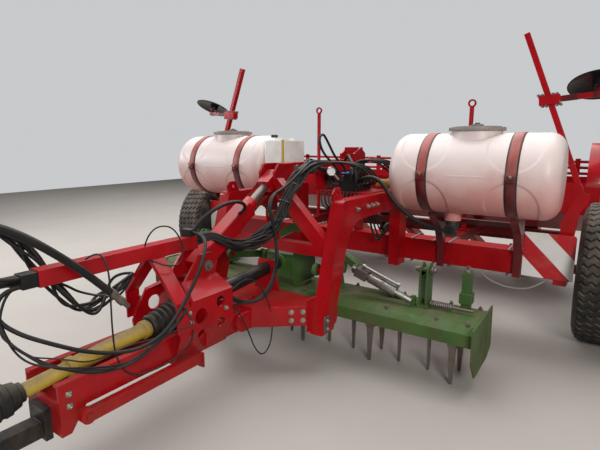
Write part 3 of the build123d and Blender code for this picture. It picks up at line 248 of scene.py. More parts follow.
# %% Tank plastic
def tank_plastic():
    look = Look("milky_polyethylene")
    cloud = look.noise(2.6, 4.0)
    fine = look.noise(55.0, 3.0)
    low = look.axis("Z").band(1.62, 1.06)
    stain = (cloud * 0.55 + low * 0.6).band(0.35, 1.0)
    clean = look.mix(stain, (0.69, 0.59, 0.57), (0.56, 0.20, 0.18))
    dust = (look.noise(7.0, 5.0) * 0.8 + look.upward() * 0.25).band(0.55, 0.95)
    look.wear(Base_Color=look.mix(dust * 0.25, clean, (0.45, 0.36, 0.31)))
    look.wear(Roughness=fine * 0.2 + dust * 0.2 + 0.32)
    look.shader.inputs["Subsurface Weight"].default_value = 0.25
    look.shader.inputs["Subsurface Scale"].default_value = 0.03
    look.shader.inputs["Subsurface Radius"].default_value = (1.0, 0.6, 0.5)
    along = (look.axis("X").maths("ABSOLUTE") - 1.24).maths("ABSOLUTE")
    height = (look.axis("Z") - 1.365).maths("ABSOLUTE")
    corner = (along - 0.31).maths("POWER", 2.0) + (height - 0.215).maths("POWER", 2.0)
    panel = corner.maths("SQRT").band(0.165, 0.188)
    seam = height.band(0.010, 0.004) * along.band(0.13, 0.115)
    look.bump(panel + seam * 0.3 + cloud * 0.25 + fine * 0.02, 0.007)
    return look.material


def plastic(name, colour, rough=0.42, dust=0.4, dirt=DUST):
    look = Look(name)
    cloud = look.noise(6.0, 5.0)
    fine = look.noise(90.0, 3.0)
    film = (cloud * 0.7 + look.upward() * 0.35 + fine * 0.2).band(0.4, 1.0) * dust
    shade = look.mix(cloud.band(0.3, 0.7), colour, tuple(part * 0.8 for part in colour))
    look.wear(Base_Color=look.mix(film, shade, dirt), Roughness=film * 0.4 + fine * 0.12 + rough)
    look.bump(fine * 0.4 + cloud * 0.3, 0.0006)
    return look.material


milky = tank_plastic()
grey_lid = plastic("grey_lid", (0.27, 0.24, 0.225), dust=0.6)
canister_white = plastic("white_canister", (0.80, 0.79, 0.75), rough=0.3, dust=0.25)
guard_yellow = plastic("guard_yellow", (0.50, 0.34, 0.04), dust=0.95, dirt=(0.17, 0.13, 0.09))
lamp_red = plastic("lamp_lens", (0.35, 0.01, 0.01), rough=0.15, dust=0.3)
black_plastic = plastic("black_plastic", (0.02, 0.02, 0.021), rough=0.4, dust=0.5)
print("plastics:", milky.name, grey_lid.name, canister_white.name, guard_yellow.name)

# %% [markdown]
# ## Rubber, bare steel and boards
# Tyre rubber is never black outdoors: soil fills its grooves and dust greys its walls. Bare steel shows
# the direction it was worked in. The warning boards carry slanting red stripes, made from one sloping
# coordinate that is folded over and over.

# %% Rubber, steel and boards
def rubber(name, colour, dust=0.4, grain=140.0):
    look = Look(name)
    cloud = look.noise(8.0, 5.0)
    fine = look.noise(grain, 3.0)
    film = (cloud * 0.8 + fine * 0.3 + look.upward() * 0.2).band(0.45, 0.95) * dust
    look.wear(Base_Color=look.mix(film, colour, (0.20, 0.15, 0.11)))
    look.wear(Roughness=film * 0.3 + fine * 0.15 + 0.46)
    look.shader.inputs["Specular IOR Level"].default_value = 0.28
    look.bump(fine * 0.5 + cloud * 0.4, 0.0009)
    return look.material


def steel(name, colour, rough=0.3, tarnish=0.5, metal=0.95):
    look = Look(name)
    brushed = look.noise(26.0, 3.0, (0.4, 6.0, 6.0))
    cloud = look.noise(7.0, 5.0)
    spots = (cloud * 0.8 + brushed * 0.25).band(0.55, 0.75) * tarnish
    look.wear(
        Base_Color=look.mix(spots, colour, (0.12, 0.07, 0.045)),
        Metallic=spots * -0.7 + metal,
        Roughness=spots * 0.4 + brushed * 0.12 + rough,
    )
    look.bump(brushed * 0.4 + spots, 0.0005)
    return look.material


def stripes(name):
    look = Look(name)
    slope = look.axis("X").maths("ABSOLUTE") - 1.765 + look.axis("Z") - 0.71
    fold = (slope / 0.36).maths("FRACT")
    red_part = fold.band(0.495, 0.505)
    grime = look.noise(9.0, 6.0).band(0.45, 0.8)
    ink = look.mix(red_part, (0.76, 0.75, 0.72), (0.46, 0.004, 0.010))
    look.wear(Base_Color=look.mix(grime * 0.22, ink, DUST), Roughness=grime * 0.35 + 0.3)
    look.bump(grime * 0.3 + look.noise(120.0, 2.0) * 0.1, 0.0004)
    return look.material


tyre_rubber = rubber("tyre_rubber", (0.018, 0.017, 0.016), dust=0.75)
boot_rubber = rubber("boot_rubber", (0.012, 0.012, 0.012), dust=0.35)
hose_rubber = rubber("hose_rubber", (0.008, 0.008, 0.009), dust=0.14, grain=260.0)
belt_rubber = rubber("belt_rubber", (0.03, 0.03, 0.03), dust=0.4)
bright_steel = steel("bright_steel", (0.36, 0.35, 0.33), rough=0.30, tarnish=0.45)
dark_steel = steel("dark_steel", (0.20, 0.17, 0.15), rough=0.45, tarnish=0.8, metal=0.8)
zinc = steel("zinc_plate", (0.36, 0.34, 0.29), rough=0.38, tarnish=0.4)
chrome = steel("chrome", (0.75, 0.74, 0.72), rough=0.12, tarnish=0.2)
blank_dial = plastic("blank_dial", (0.75, 0.74, 0.70), rough=0.25, dust=0.15)
valve_blue = plastic("valve_blue", (0.03, 0.14, 0.45), rough=0.35, dust=0.2)
grey_hose = plastic("grey_hose", (0.30, 0.29, 0.27), rough=0.5, dust=0.4)
boards = stripes("striped_board")
print("rubber, steel and boards are ready")

# %% [markdown]
# ## Dressing the solids
# Every solid keeps its shape. It gets its material, and most also get a small bevel that catches light along
# folded and welded edges, because no plate on a real machine ends in a knife edge.

# %% Dress the solids
DRESS = {
    "arch_frame": red, "front_nose": red, "toolbar": red, "wheel_legs": red, "chassis": red_shaded_soiled,
    "rear_cross": red_shaded_soiled, "lift_eye": red, "hose_coupler": dark_steel,
    "hopper": red, "planting_units": red_shaded_soiled, "ridging_hood": red_shaded_soiled, "masts": red,
    "tank_cradles": straps, "tank_left": milky, "tank_right": milky, "tank_lids": grey_lid,
    "hazard_boards": boards, "cup_belts": belt_rubber, "hopper_rail": red,
    "light_bar": lamp_red, "canister": canister_white, "valve_block": black, "drive_tube": black,
    "drawbar": red, "hose_beam": red, "tow_bar": black, "shaft_guard": guard_yellow,
    "shaft_boot": boot_rubber, "lift_barrel": red, "lift_rod": dark_steel, "parking_stand": red,
    "tyre_left": tyre_rubber, "tyre_right": tyre_rubber, "rim_left": red_shaded_soiled, "rim_right": red_shaded_soiled,
    "lift_links": green, "top_link": green, "harrow_trough": green, "harrow_headstock": green,
    "harrow_gearbox": green, "harrow_struts": bright_steel, "marker_arm_left": red,
    "marker_arm_right": red, "marker_disc_left": black, "marker_disc_right": black,
}
SOFT_EDGE = ("tyre_left", "tyre_right", "hazard_boards", "shaft_boot", "cup_belts", "ridging_hood")
for name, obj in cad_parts.items():
    material = DRESS.get(name, dark_steel if name.startswith("rotor") else hose_rubber)
    for slot in obj.material_slots:
        slot.material = material
    if not obj.material_slots:
        obj.data.materials.append(material)
    if name in SOFT_EDGE:
        continue
    weld = obj.modifiers.new("weld", "WELD")
    weld.merge_threshold = 0.00002
    bevel = obj.modifiers.new("bevel", "BEVEL")
    bevel.width = 0.0025
    bevel.segments = 2
    bevel.limit_method = "ANGLE"
    bevel.angle_limit = radians(38)
    bevel.harden_normals = False
print("dressed", len(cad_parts), "solids")

# %% [markdown]
# ## Tools for fine pieces
# A few small makers cover nearly everything. `piece` makes a mesh from points and faces, dresses it and
# ties it to the body that it moves with. `turned` works like a lathe: it turns a profile about an axis.
# `block` is a plain box, and `gather` joins several shapes into one piece.

# %% Mesh makers
def piece(name, points, faces, body, material, slot, smooth=False):
    mesh = bpy.data.meshes.new(name)
    mesh.from_pydata([tuple(point) for point in points], [], faces)
    shell = bmesh.new()
    shell.from_mesh(mesh)
    bmesh.ops.recalc_face_normals(shell, faces=shell.faces)
    shell.to_mesh(mesh)
    shell.free()
    for polygon in mesh.polygons:
        polygon.use_smooth = smooth
    obj = bpy.data.objects.new(name, mesh)
    bpy.context.collection.objects.link(obj)
    mesh.materials.append(material)
    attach(obj, body)
    return obj


def base_of(direction):
    """Two directions square to a third."""
    direction = Vector(direction).normalized()
    side = direction.orthogonal().normalized()
    return side, direction.cross(side)


def turned(profile, centre, axis, steps=32, ring=False):
    """Points and faces of (along, radius) pairs turned about an axis, closed by flat ends or as a ring."""
    axis = Vector(axis).normalized()
    side, up = base_of(axis)
    points = []
    for along, radius in profile:
        for step in range(steps):
            angle = 2 * pi * step / steps
            points.append(Vector(centre) + axis * along + radius * (side * cos(angle) + up * sin(angle)))
    faces = []
    for row in range(len(profile) - 1 + ring):
        here, above = row * steps, (row + 1) % len(profile) * steps
        for step in range(steps):
            after = (step + 1) % steps
            faces.append((here + step, here + after, above + after, above + step))
    if ring:
        return points, faces
    faces.append(tuple(range(steps))[::-1])
    faces.append(tuple(range((len(profile) - 1) * steps, len(profile) * steps)))
    return points, faces


def gather(parts):
    """One list of points and faces from several."""
    points, faces = [], []
    for more_points, more_faces in parts:
        start = len(points)
        points += more_points
        faces += [tuple(start + corner for corner in face) for face in more_faces]
    return points, faces


def block(low, high):
    points = [(x, y, z) for x in (low[0], high[0]) for y in (low[1], high[1]) for z in (low[2], high[2])]
    return points, [(0, 1, 3, 2), (4, 6, 7, 5), (0, 4, 5, 1), (2, 3, 7, 6), (0, 2, 6, 4), (1, 5, 7, 3)]


print("mesh makers ready")

# %% [markdown]
# ## Nuts and soft edges
# A bolt shows as a washer, a hexagon and a domed end, and many bolts are drawn as one mesh. A narrow bevel
# catches the light along sharp edges, as it does on folded and cut steel.

# %% Nuts and edges
def nut(place, direction, size):
    """A hexagon nut with a washer and a domed bolt end, size across its corners."""
    washer = turned([(0, size * 0.72), (size * 0.12, size * 0.72)], place, direction, 16)
    chamfered = [(size * 0.12, size * 0.56), (size * 0.55, size * 0.58), (size * 0.66, size * 0.48)]
    hexagon = turned(chamfered, place, direction, 6)
    domed = [(size * 0.66, size * 0.3), (size * 0.95, size * 0.28), (size * 1.02, size * 0.2)]
    end = turned(domed, place, direction, 10)
    return gather([washer, hexagon, end])


def bolts(name, spots, body, size=0.024, material=None):
    parts = [nut(place, direction, size) for place, direction in spots]
    return piece(name, *gather(parts), body, material or zinc, "bare_steel")


def edge(obj, width=0.002):
    bevel = obj.modifiers.new("edge", "BEVEL")
    bevel.width = width
    bevel.segments = 2
    bevel.limit_method = "ANGLE"
    return obj


print("nuts and edges ready")

# %% [markdown]
# ## Hoses as curves
# A hose is a curve with a round section, led by a few points. One that crosses a joint becomes a plain mesh.

# %% Hose makers
def hose_curve(name, points, radius):
    curve = bpy.data.curves.new(name, "CURVE")
    curve.dimensions = "3D"
    curve.bevel_depth = radius
    curve.bevel_resolution = 3
    curve.resolution_u = 8
    curve.use_fill_caps = True
    spline = curve.splines.new("NURBS")
    spline.points.add(len(points) - 1)
    for spot, point in zip(spline.points, points):
        spot.co = (*point, 1.0)
    spline.order_u = 3
    spline.use_endpoint_u = True
    obj = bpy.data.objects.new(name, curve)
    bpy.context.collection.objects.link(obj)
    curve.materials.append(hose_rubber)
    return obj


def hose(name, points, radius, body, material=None):
    obj = hose_curve(name, points, radius)
    if material:
        obj.data.materials[0] = material
    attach(obj, body)
    return obj


def crossing(name, points, radius):
    """A hose that crosses from one body to another, as a mesh."""
    line = hose_curve(name + "_line", points, radius)
    bpy.context.view_layer.update()
    mesh = bpy.data.meshes.new_from_object(line.evaluated_get(bpy.context.evaluated_depsgraph_get()))
    bpy.data.objects.remove(line)
    obj = bpy.data.objects.new(name, mesh)
    bpy.context.collection.objects.link(obj)
    for polygon in mesh.polygons:
        polygon.use_smooth = True
    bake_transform(obj)
    return obj


print("hose makers ready")

# %% [markdown]
# ## Tyres
# A trailer tyre is moulded, so tread and wall are one surface. It is made as a grid bent round the wheel.
# Each point of the tread drops by the groove's depth where the pattern says so: thin zigzag grooves that
# cross the whole width. The wall carries raised rings. The outline is the one of the solid, so the wheel
# still stands on the floor.

# %% Tyres
def tyre(side, label):
    low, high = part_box("tyre_" + label)
    centre = (Vector(low) + Vector(high)) / 2
    half = (high[0] - low[0]) / 2
    outer = (high[2] - low[2]) / 2
    bead, shoulder, lugs, around = 0.286, 0.035, 54, 648
    wall = []
    for step in range(15):
        share = step / 14
        angle = pi * share
        wall.append((-half + shoulder * (1 - sin(angle)) ** 2, bead + (outer - 0.022 - bead) * share))
    across = [(-half + shoulder, bead - 0.004)] + wall
    tread_edge = half - shoulder
    tread = [(-tread_edge + 2 * tread_edge * step / 46, outer) for step in range(47)]
    profile = across + tread + [(-x, r) for x, r in reversed(across)]
    points, faces = [], []
    for row, (x, radius) in enumerate(profile):
        for step in range(around):
            turn = 2 * pi * step / around
            depth = 0.0
            share = x / tread_edge
            pitch = turn * lugs / (2 * pi)
            zigzag = abs((abs(share) * 2.6 + 0.5) % 1.0 - 0.5)
            if radius == outer:
                groove = abs((pitch + zigzag * 0.9 + share * 0.25) % 1.0 - 0.5)
                depth = 0.012 * min(1.0, max(0.0, (0.145 - groove) / 0.05))
                depth += 0.014 * max(0.0, abs(share) - 0.84) / 0.16
            elif radius > 0.5:
                groove = abs((pitch + 0.55) % 1.0 - 0.5)
                depth = 0.004 if groove < 0.14 else 0.0
            across_by = 0.0
            if 0.30 < radius < 0.5:
                ring = (radius - bead) / 0.05
                across_by = 0.003 if ring % 1.0 < 0.3 else 0.0
            spot = radius - depth
            inward = across_by if x > 0 else -across_by
            points.append(centre + Vector((x - inward, spot * cos(turn), spot * sin(turn))))
    rows = len(profile)
    for row in range(rows):
        here, below = row * around, (row + 1) % rows * around
        for step in range(around):
            after = (step + 1) % around
            faces.append((here + step, here + after, below + after, below + step))
    body = "wheel_" + label
    obj = piece("tyre_tread_" + label, points, faces, body, tyre_rubber, "tyre_rubber", smooth=True)
    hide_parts("tyre_" + label)
    split = obj.modifiers.new("crease", "EDGE_SPLIT")
    split.split_angle = radians(40)
    return obj


WHEEL_Y, WHEEL_Z, NUT_CIRCLE = 0.755, 0.565, 0.118
for side, label in ((1, "left"), (-1, "right")):
    tyre(side, label)
    spots = []
    for step in range(10):
        turn = 2 * pi * (step + 0.5) / 10
        place = (side * 2.182, WHEEL_Y + NUT_CIRCLE * cos(turn), WHEEL_Z + NUT_CIRCLE * sin(turn))
        spots.append((place, (side, 0, 0)))
    bolts("wheel_nuts_" + label, spots, "wheel_" + label, 0.03, dark_steel)
print("tyres and nuts done")

# %% [markdown]
# ## Tank fittings
# Each tank has a screwed lid with grip ribs round its rim, a drain with a black valve below, and steel
# straps closed by a bolt and two ears. Small pieces like these tell the eye how large the tank is.

# %% Tank fittings
TANK_X, TANK_Y, TANK_Z = 1.24, 0.08, 1.365
for side, label in ((1, "left"), (-1, "right")):
    x = side * TANK_X
    ribs = []
    for step in range(40):
        turn = 2 * pi * step / 40
        spot = Vector((x + 0.1965 * cos(turn), TANK_Y + 0.1965 * sin(turn), 1.6925))
        ribs.append(turned([(0, 0.0065), (0.019, 0.0065), (0.021, 0.004)], spot, (0, 0, 1), 6))
    rim = [(0, 0.168), (0.004, 0.172), (0.008, 0.168), (0.008, 0.15), (0, 0.15)]
    ring = turned(rim, (x, TANK_Y, 1.7152), (0, 0, 1), 48, True)
    piece("lid_ribs_" + label, *gather(ribs + [ring]), "frame", grey_lid, "lid_plastic")
    drain_x, drain_z = side * 1.10, 0.92
    neck = [(0, 0.05), (-0.05, 0.05), (-0.055, 0.042), (-0.13, 0.04)]
    drain = [
        turned(neck, (drain_x, TANK_Y, 0.9968), (0, 0, 1), 24),
        turned([(-0.07, 0.03), (0.07, 0.03)], (drain_x, TANK_Y, drain_z), (0, 1, 0), 20),
        turned([(-0.012, 0.048), (0.012, 0.048)], (drain_x, 0.022, drain_z), (0, 1, 0), 20),
    ]
    piece("drain_" + label, *gather(drain), "frame", black_plastic, "black_paint")
    ears = []
    spots = []
    for strap_x in (x - 0.31, x + 0.31):
        for step in (-1, 1):
            front = (strap_x - 0.026, -0.262, TANK_Z + step * 0.028)
            rear = (strap_x + 0.026, -0.25, TANK_Z + step * 0.012)
            ears.append(block(front, rear))
        spots.append(((strap_x, -0.2525, 1.378), (0, -1, 0)))
    edge(piece("strap_ears_" + label, *gather(ears), "frame", straps, "strap_steel"))
    lining = []
    for strap_x in (x - 0.31, x + 0.31):
        bore, skin = 0.3075, 0.3095
        band = [(-0.041, bore), (-0.041, skin), (0.041, skin), (0.041, bore)]
        lining.append(turned(band, (strap_x, TANK_Y, TANK_Z), (1, 0, 0), 96, True))
    piece("strap_lining_" + label, *gather(lining), "frame", black_plastic, "black_paint", smooth=True)
    stepped = [(0, 0.045), (0.02, 0.045), (0.024, 0.035), (0.024, 0.02), (0.034, 0.018)]
    cap = turned(stepped, (x, TANK_Y, 1.716), (0, 0, 1), 24)
    piece("lid_cap_" + label, *cap, "frame", black_plastic, "lid_plastic")
    bolts("strap_bolts_" + label, spots, "frame", 0.018)
print("tank fittings done")

# %% [markdown]
# ## Clamps on the toolbar
# Every cradle and arch is held to the square tube by a plate and two bent rods with nuts. A clamp like
# this lets a unit slide to any row width.

# %% Clamps
PLATE_REAR = 0.6175
rods = []
spots = []
for x in (-1.60, -1.48, -1.0, -0.86, -0.66, -0.42, 0.42, 0.66, 0.86, 1.0, 1.48, 1.60):
    for z in (0.532, 0.744):
        rods.append(block((x - 0.009, 0.376, z - 0.004), (x + 0.009, 0.634, z + 0.004)))
    rods.append(block((x - 0.03, PLATE_REAR - 0.012, 0.528), (x + 0.03, PLATE_REAR, 0.752)))
    for z in (0.56, 0.72):
        spots.append(((x, PLATE_REAR, z), (0, 1, 0)))
edge(piece("toolbar_clamps", *gather(rods), "frame", dark_steel, "strap_steel"))
bolts("clamp_nuts", spots, "frame", 0.026)
print(len(spots), "clamp nuts")

# %% [markdown]
# ## Bolts and pins
# Bolts show where plates may come apart. They stand on the arches, on the nose, on the drawbar head and on
# the marker clamps, always as a washer, a hexagon and a bolt end.

# %% Bolts
FOOT_X, FOOT_Y = 0.59, -1.01
spots = []
for side in (1, -1):
    for y in (-0.60, -0.43, -0.35, -0.27):
        spots.append(((side * 0.60, y, 1.125), (side, 0, 0)))
    for share in (0.72, 0.93):
        for z in (0.40, 0.46):
            place = (side * (0.185 + 0.291 * share), -1.32 + 0.24 * share, z)
            spots.append((place, (side * 0.637, -0.772, 0)))
    for z in (0.40, 0.34):
        spots.append(((side * FOOT_X, FOOT_Y, z), (side, 0, 0)))
bolts("frame_bolts", spots, "frame", 0.026)
plates = []
for side in (1, -1):
    low, high = sorted((side * FOOT_X, side * (FOOT_X + 0.006)))
    plates.append(block((low, FOOT_Y - 0.03, 0.31), (high, FOOT_Y + 0.03, 0.43)))
edge(piece("foot_plates", *gather(plates), "frame", dark_steel, "strap_steel"))
spots = []
for side in (1, -1):
    for place in ((-1.892, 0.659), (-1.881, 0.60), (-1.60, 0.60)):
        spots.append(((side * 0.220, *place), (side, 0, 0)))
    for z in (0.41, 0.47):
        spots.append(((side * 0.150, -2.56, z), (side, 0, 0)))
bolts("drawbar_bolts", spots, "drawbar", 0.022)
print("bolts done")

# %% [markdown]
# ## Small parts of the harrow
# Each side of the harrow has a strut with a ribbed sleeve, a fork with a pin, a coil spring and a post
# with a steel cap. A spring is a wire wound round a bar, so it is drawn as one line that goes round.

# %% Harrow parts
STRUT_Y = -0.5733
FORK_Y, FORK_Z = -0.495, 0.722
POST_X, POST_Y = 1.36, -0.395
SPRING_Y, SPRING_Z = -0.52, 0.492
for side, label in ((1, "left"), (-1, "right")):
    top = Vector((side * 0.560, STRUT_Y, 0.665))
    foot = Vector((side * 1.030, STRUT_Y, 0.500))
    run = (foot - top).normalized()
    ribs = []
    for step in range(13):
        at = top + run * (0.162 + 0.0165 * step)
        ribs.append(turned([(0, 0.036), (0.002, 0.0395), (0.006, 0.0395), (0.008, 0.036)], at, run, 20))
    piece("strut_ribs_" + label, *gather(ribs), "harrow", zinc, "bare_steel")
    box_end = turned([(0, 0.05), (0.10, 0.052)], top + run * 0.035, run, 4)
    band = turned([(0, 0.0405), (0.022, 0.0405)], top + run * 0.25, run, 24)
    edge(piece("strut_block_" + label, *gather([box_end, band]), "harrow", dark_steel, "strap_steel"))
    above = top + Vector((0, 0, 0.062))
    bypass = turned([(0, 0.011), (0.29, 0.011)], above + run * 0.10, run, 12)
    ends = [turned([(0, 0.017), (0.02, 0.017)], above + run * along, run, 8) for along in (0.09, 0.38)]
    piece("strut_pipe_" + label, *gather([bypass] + ends), "harrow", bright_steel, "bare_steel")
    fork = []
    for x in (1.068, 1.118):
        start_x = side * x if side > 0 else side * (x + 0.014)
        fork.append(turned([(0, 0.055), (0.014, 0.055)], (start_x, FORK_Y, FORK_Z), (1, 0, 0), 28))
    for near, far, low, high in (
        (1.318, 1.402, (-0.437, 0.50), (-0.353, 0.575)),
        (1.06, 1.14, (-0.56, 0.46), (-0.43, 0.474)),
    ):
        first, last = sorted((side * near, side * far))
        fork.append(block((first, *low), (last, *high)))
    edge(piece("harrow_fork_" + label, *gather(fork), "harrow", green, "paint_green"), 0.003)
    pin = (side * 1.10, FORK_Y, FORK_Z)
    caps = [
        turned([(0, 0.026), (0.016, 0.026), (0.02, 0.02)], (side * POST_X, POST_Y, 0.7205), (0, 0, 1), 20),
        turned([(0, 0.016), (0.026, 0.016)], (side * POST_X, POST_Y, 0.738), (0, 0, 1), 6),
        turned([(-0.075, 0.017), (0.075, 0.017)], pin, (1, 0, 0), 16),
        turned([(0.04, 0.027), (0.052, 0.027)], pin, (1, 0, 0), 20),
        turned([(-0.052, 0.027), (-0.04, 0.027)], pin, (1, 0, 0), 20),
        turned([(0, 0.009), (0.30, 0.009)], (side * 1.14, SPRING_Y, SPRING_Z), (side, 0, 0), 10),
    ]
    piece("harrow_caps_" + label, *gather(caps), "harrow", dark_steel, "bare_steel")
    coil = []
    for step in range(90):
        turn = 2 * pi * step / 8
        along = side * (1.15 + 0.0017 * step)
        coil.append((along, SPRING_Y + 0.019 * cos(turn), SPRING_Z + 0.019 * sin(turn)))
    spring = hose_curve("coil_spring_" + label, coil, 0.0035)
    spring.data.materials[0] = bright_steel
    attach(spring, "harrow")
spots = []
for side in (1, -1):
    for x in (0.2, 0.5, 0.9, 1.25, 1.45):
        for y in (-0.70, -0.36):
            spots.append(((side * x, y, 0.461), (0, 0, 1)))
bolts("trough_bolts", spots, "harrow", 0.022, dark_steel)
print("harrow parts done")

# %% [markdown]
# ## Marker clamps and the canister
# A marker's disc bracket is gripped by a stack of plates and long bolts, so it slides along the arm to set
# the row width. The canister holds clean water for hands: it has a black cap and a yellow level tube.

# %% Marker clamps and canister
for side, label in ((1, "left"), (-1, "right")):
    lean = radians(21.4)
    arm = Vector((-side * sin(lean), 0, cos(lean)))
    out = Vector((side * cos(radians(5)), 0, sin(radians(5))))
    hinge = Vector((side * 1.950, 0.505, 1.180))
    grip = hinge + arm * 0.800
    parts = []
    for reach in (-0.062, -0.036, 0.036, 0.062):
        for front in (-0.03, 0.03):
            foot = grip + out * reach + Vector((0, front, 0)) - arm * 0.052
            parts.append(turned([(0, 0.006), (0.104, 0.006)], foot, arm, 8))
            parts.append(turned([(0.004, 0.011), (0.014, 0.011)], foot, arm, 6))
            parts.append(turned([(0.09, 0.011), (0.10, 0.011)], foot, arm, 6))
    piece("clamp_bolts_" + label, *gather(parts), "marker_arm_" + label, dark_steel, "bare_steel")
    sleeve = turned([(0, 0.030), (0.10, 0.030)], grip + out * 0.085, out, 4)
    knee = turned([(0, 0.034), (0.03, 0.034)], grip + out * 0.285, out, 4)
    holder = gather([sleeve, knee])
    edge(piece("clamp_sleeve_" + label, *holder, "marker_arm_" + label, clamp_red, "paint_red"))
low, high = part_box("canister")
mouth = (low[0] + 0.08, low[1] + 0.07, high[2])
cap = turned([(0, 0.032), (0.024, 0.032), (0.028, 0.026)], mouth, (0, 0, 1), 20)
piece("canister_cap", *cap, "frame", black_plastic, "black_paint")
level_foot = (high[0] - 0.012, low[1] - 0.004, low[2] + 0.02)
level = block(level_foot, (high[0] + 0.004, low[1] + 0.014, high[2] - 0.02))
edge(piece("canister_level", *level, "frame", guard_yellow, "guard_plastic"))
print("clamps and canister done", [round(part, 3) for part in low + high])

# %% [markdown]
# ## Pins at the tower and at the drawbar's head
# A pin that carries a cylinder shows its head outside the plate, with a smaller end that keeps it from
# turning. Two stand at the lift tower and one at the head of the drawbar.

# %% Tower pins
CYLINDER_PIN = [(0, 0.040), (0.018, 0.040), (0.02, 0.022), (0.034, 0.022)]
REAR_BOLT = [(0, 0.017), (0.10, 0.017), (0.104, 0.024), (0.13, 0.024)]
HEAD_PIN = [(0, 0.034), (0.012, 0.034), (0.014, 0.018), (0.03, 0.018)]
pins = [
    turned(CYLINDER_PIN, (0.060, -0.60, 1.395), (1, 0, 0), 24),
    turned(REAR_BOLT, (0.078, -0.50, 1.385), (0.1, 1, 0), 14),
]
piece("tower_pins", *gather(pins), "frame", dark_steel, "bare_steel")
head_pin = turned(HEAD_PIN, (0.0865, -1.61, 0.85), (1, 0, 0), 24)
piece("head_pin", *head_pin, "drawbar", dark_steel, "bare_steel")
print("pins done")

# %% [markdown]
# ## Valves on the shelf
# Five valves stand in a row on the shelf. Each is a cast body with a coil on top and a port at each end.
# A filter with a yellow bowl and a pressure gauge stand beside them. The gauge has no figures.

# %% Valves
VALVE_Y, VALVE_STEP, PORT_Z = -0.24, 0.06, 1.256
parts = []
for unit in range(5):
    y = VALVE_Y + VALVE_STEP * unit
    parts.append(turned([(0, 0.02), (0.05, 0.02), (0.055, 0.012)], (0.36, y, 1.349), (0, 0, 1), 16))
    parts.append(block((0.268, y - 0.017, 1.298), (0.29, y + 0.017, 1.335)))
    parts.append(turned([(0, 0.02), (0.03, 0.02)], (0.383, y, PORT_Z), (0, 0, 1), 6))
parts.append(block((0.03, -0.17, 1.285), (0.13, -0.05, 1.362)))
for plug in range(3):
    parts.append(turned([(0, 0.011), (0.03, 0.011)], (0.05 + 0.03 * plug, -0.14, 1.362), (0, 0, 1), 10))
edge(piece("valve_coils", *gather(parts), "frame", black_plastic, "black_paint"))
valve_foot = block((0.05, -0.15, 1.214), (0.11, -0.07, 1.285))
edge(piece("valve_foot", *valve_foot, "frame", dark_steel, "bare_steel"))
strip = block((0.27, -0.267, 1.352), (0.32, 0.025, 1.362))
edge(piece("valve_strip", *strip, "frame", valve_blue, "black_paint"))
GAUGE, FACING = Vector((0.20, -0.30, 1.36)), (0.45, -0.85, 0.25)
case = [(0, 0.012), (0.03, 0.012), (0.032, 0.036), (0.058, 0.038), (0.06, 0.033)]
piece("gauge_case", *turned(case, GAUGE, FACING, 28), "frame", chrome, "bare_steel")
dial = turned([(0, 0.031), (0.002, 0.031)], GAUGE + 0.0585 * Vector((0.453, -0.855, 0.252)), FACING, 28)
piece("gauge_dial", *dial, "frame", blank_dial, "white_plastic")
stem = turned([(0, 0.012), (0.09, 0.012)], (0.262, -0.285, 1.30), (-0.72, -0.1, 0.68), 10)
piece("gauge_stem", *stem, "frame", dark_steel, "bare_steel")
bowl = turned(
    [(0, 0.02), (0.004, 0.032), (0.10, 0.036), (0.102, 0.043), (0.125, 0.043), (0.128, 0.03), (0.15, 0.03)],
    (0.44, 0.06, 1.262), (0.9, 0.1, 0.0), 24,
)
piece("filter_bowl", *bowl, "frame", guard_yellow, "guard_plastic")
print("valves done")

# %% [markdown]
# ## Hoses that hang free
# Two hoses hang from the front of the beam: one ends in a coupler that waits for the tractor, the other
# droops along the drawbar and goes in at its head. Each is a curve through the points of its solid.

# %% Free hoses
TAIL = [
    (-0.012, -2.651, 1.012), (-0.012, -2.765, 1.012), (-0.005, -2.875, 1.035), (0.015, -2.955, 1.110),
    (0.045, -2.968, 1.215), (0.080, -2.895, 1.290), (0.110, -2.780, 1.290), (0.125, -2.660, 1.220),
    (0.130, -2.540, 1.120), (0.130, -2.415, 1.005), (0.130, -2.303, 0.882),
]
DRAPE = [
    (0.020, -2.651, 0.982), (0.020, -2.736, 0.982), (0.042, -2.775, 0.880), (0.090, -2.710, 0.800),
    (0.135, -2.600, 0.725), (0.178, -2.485, 0.655), (0.215, -2.360, 0.605), (0.242, -2.235, 0.585),
    (0.264, -2.115, 0.618), (0.277, -2.020, 0.700), (0.277, -1.930, 0.800), (0.265, -1.840, 0.905),
    (0.220, -1.745, 1.000), (0.140, -1.680, 1.064), (0.040, -1.680, 1.064),
]
tail = hose_curve("tail_hose", TAIL, 0.019)
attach(tail, "drawbar")
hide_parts("hose_tail")
drape = hose_curve("drape_hose", DRAPE, 0.010)
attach(drape, "drawbar")
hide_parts("hose_drape")
print("free hoses:", tail.name, drape.name)

# %% [markdown]
# ## Hoses that are held
# A machine like this is fed by dozens of black hoses. They run inside the long beam, sag past the lift
# cylinder and climb to the valves. Each is a smooth curve through a few points, shifted a little from its
# neighbours.

# %% Feed hoses
rng = random.Random(12)


def shifted(points, spread, still=1):
    """The same points, each moved a little, apart from the first and last few."""
    moved = []
    for number, (x, y, z) in enumerate(points):
        reach = 0.0 if number < still or number >= len(points) - still else spread
        step_x, step_y, step_z = [rng.uniform(-reach, reach) for _ in range(3)]
        moved.append((x + step_x, y + step_y * 0.5, z + step_z))
    return moved


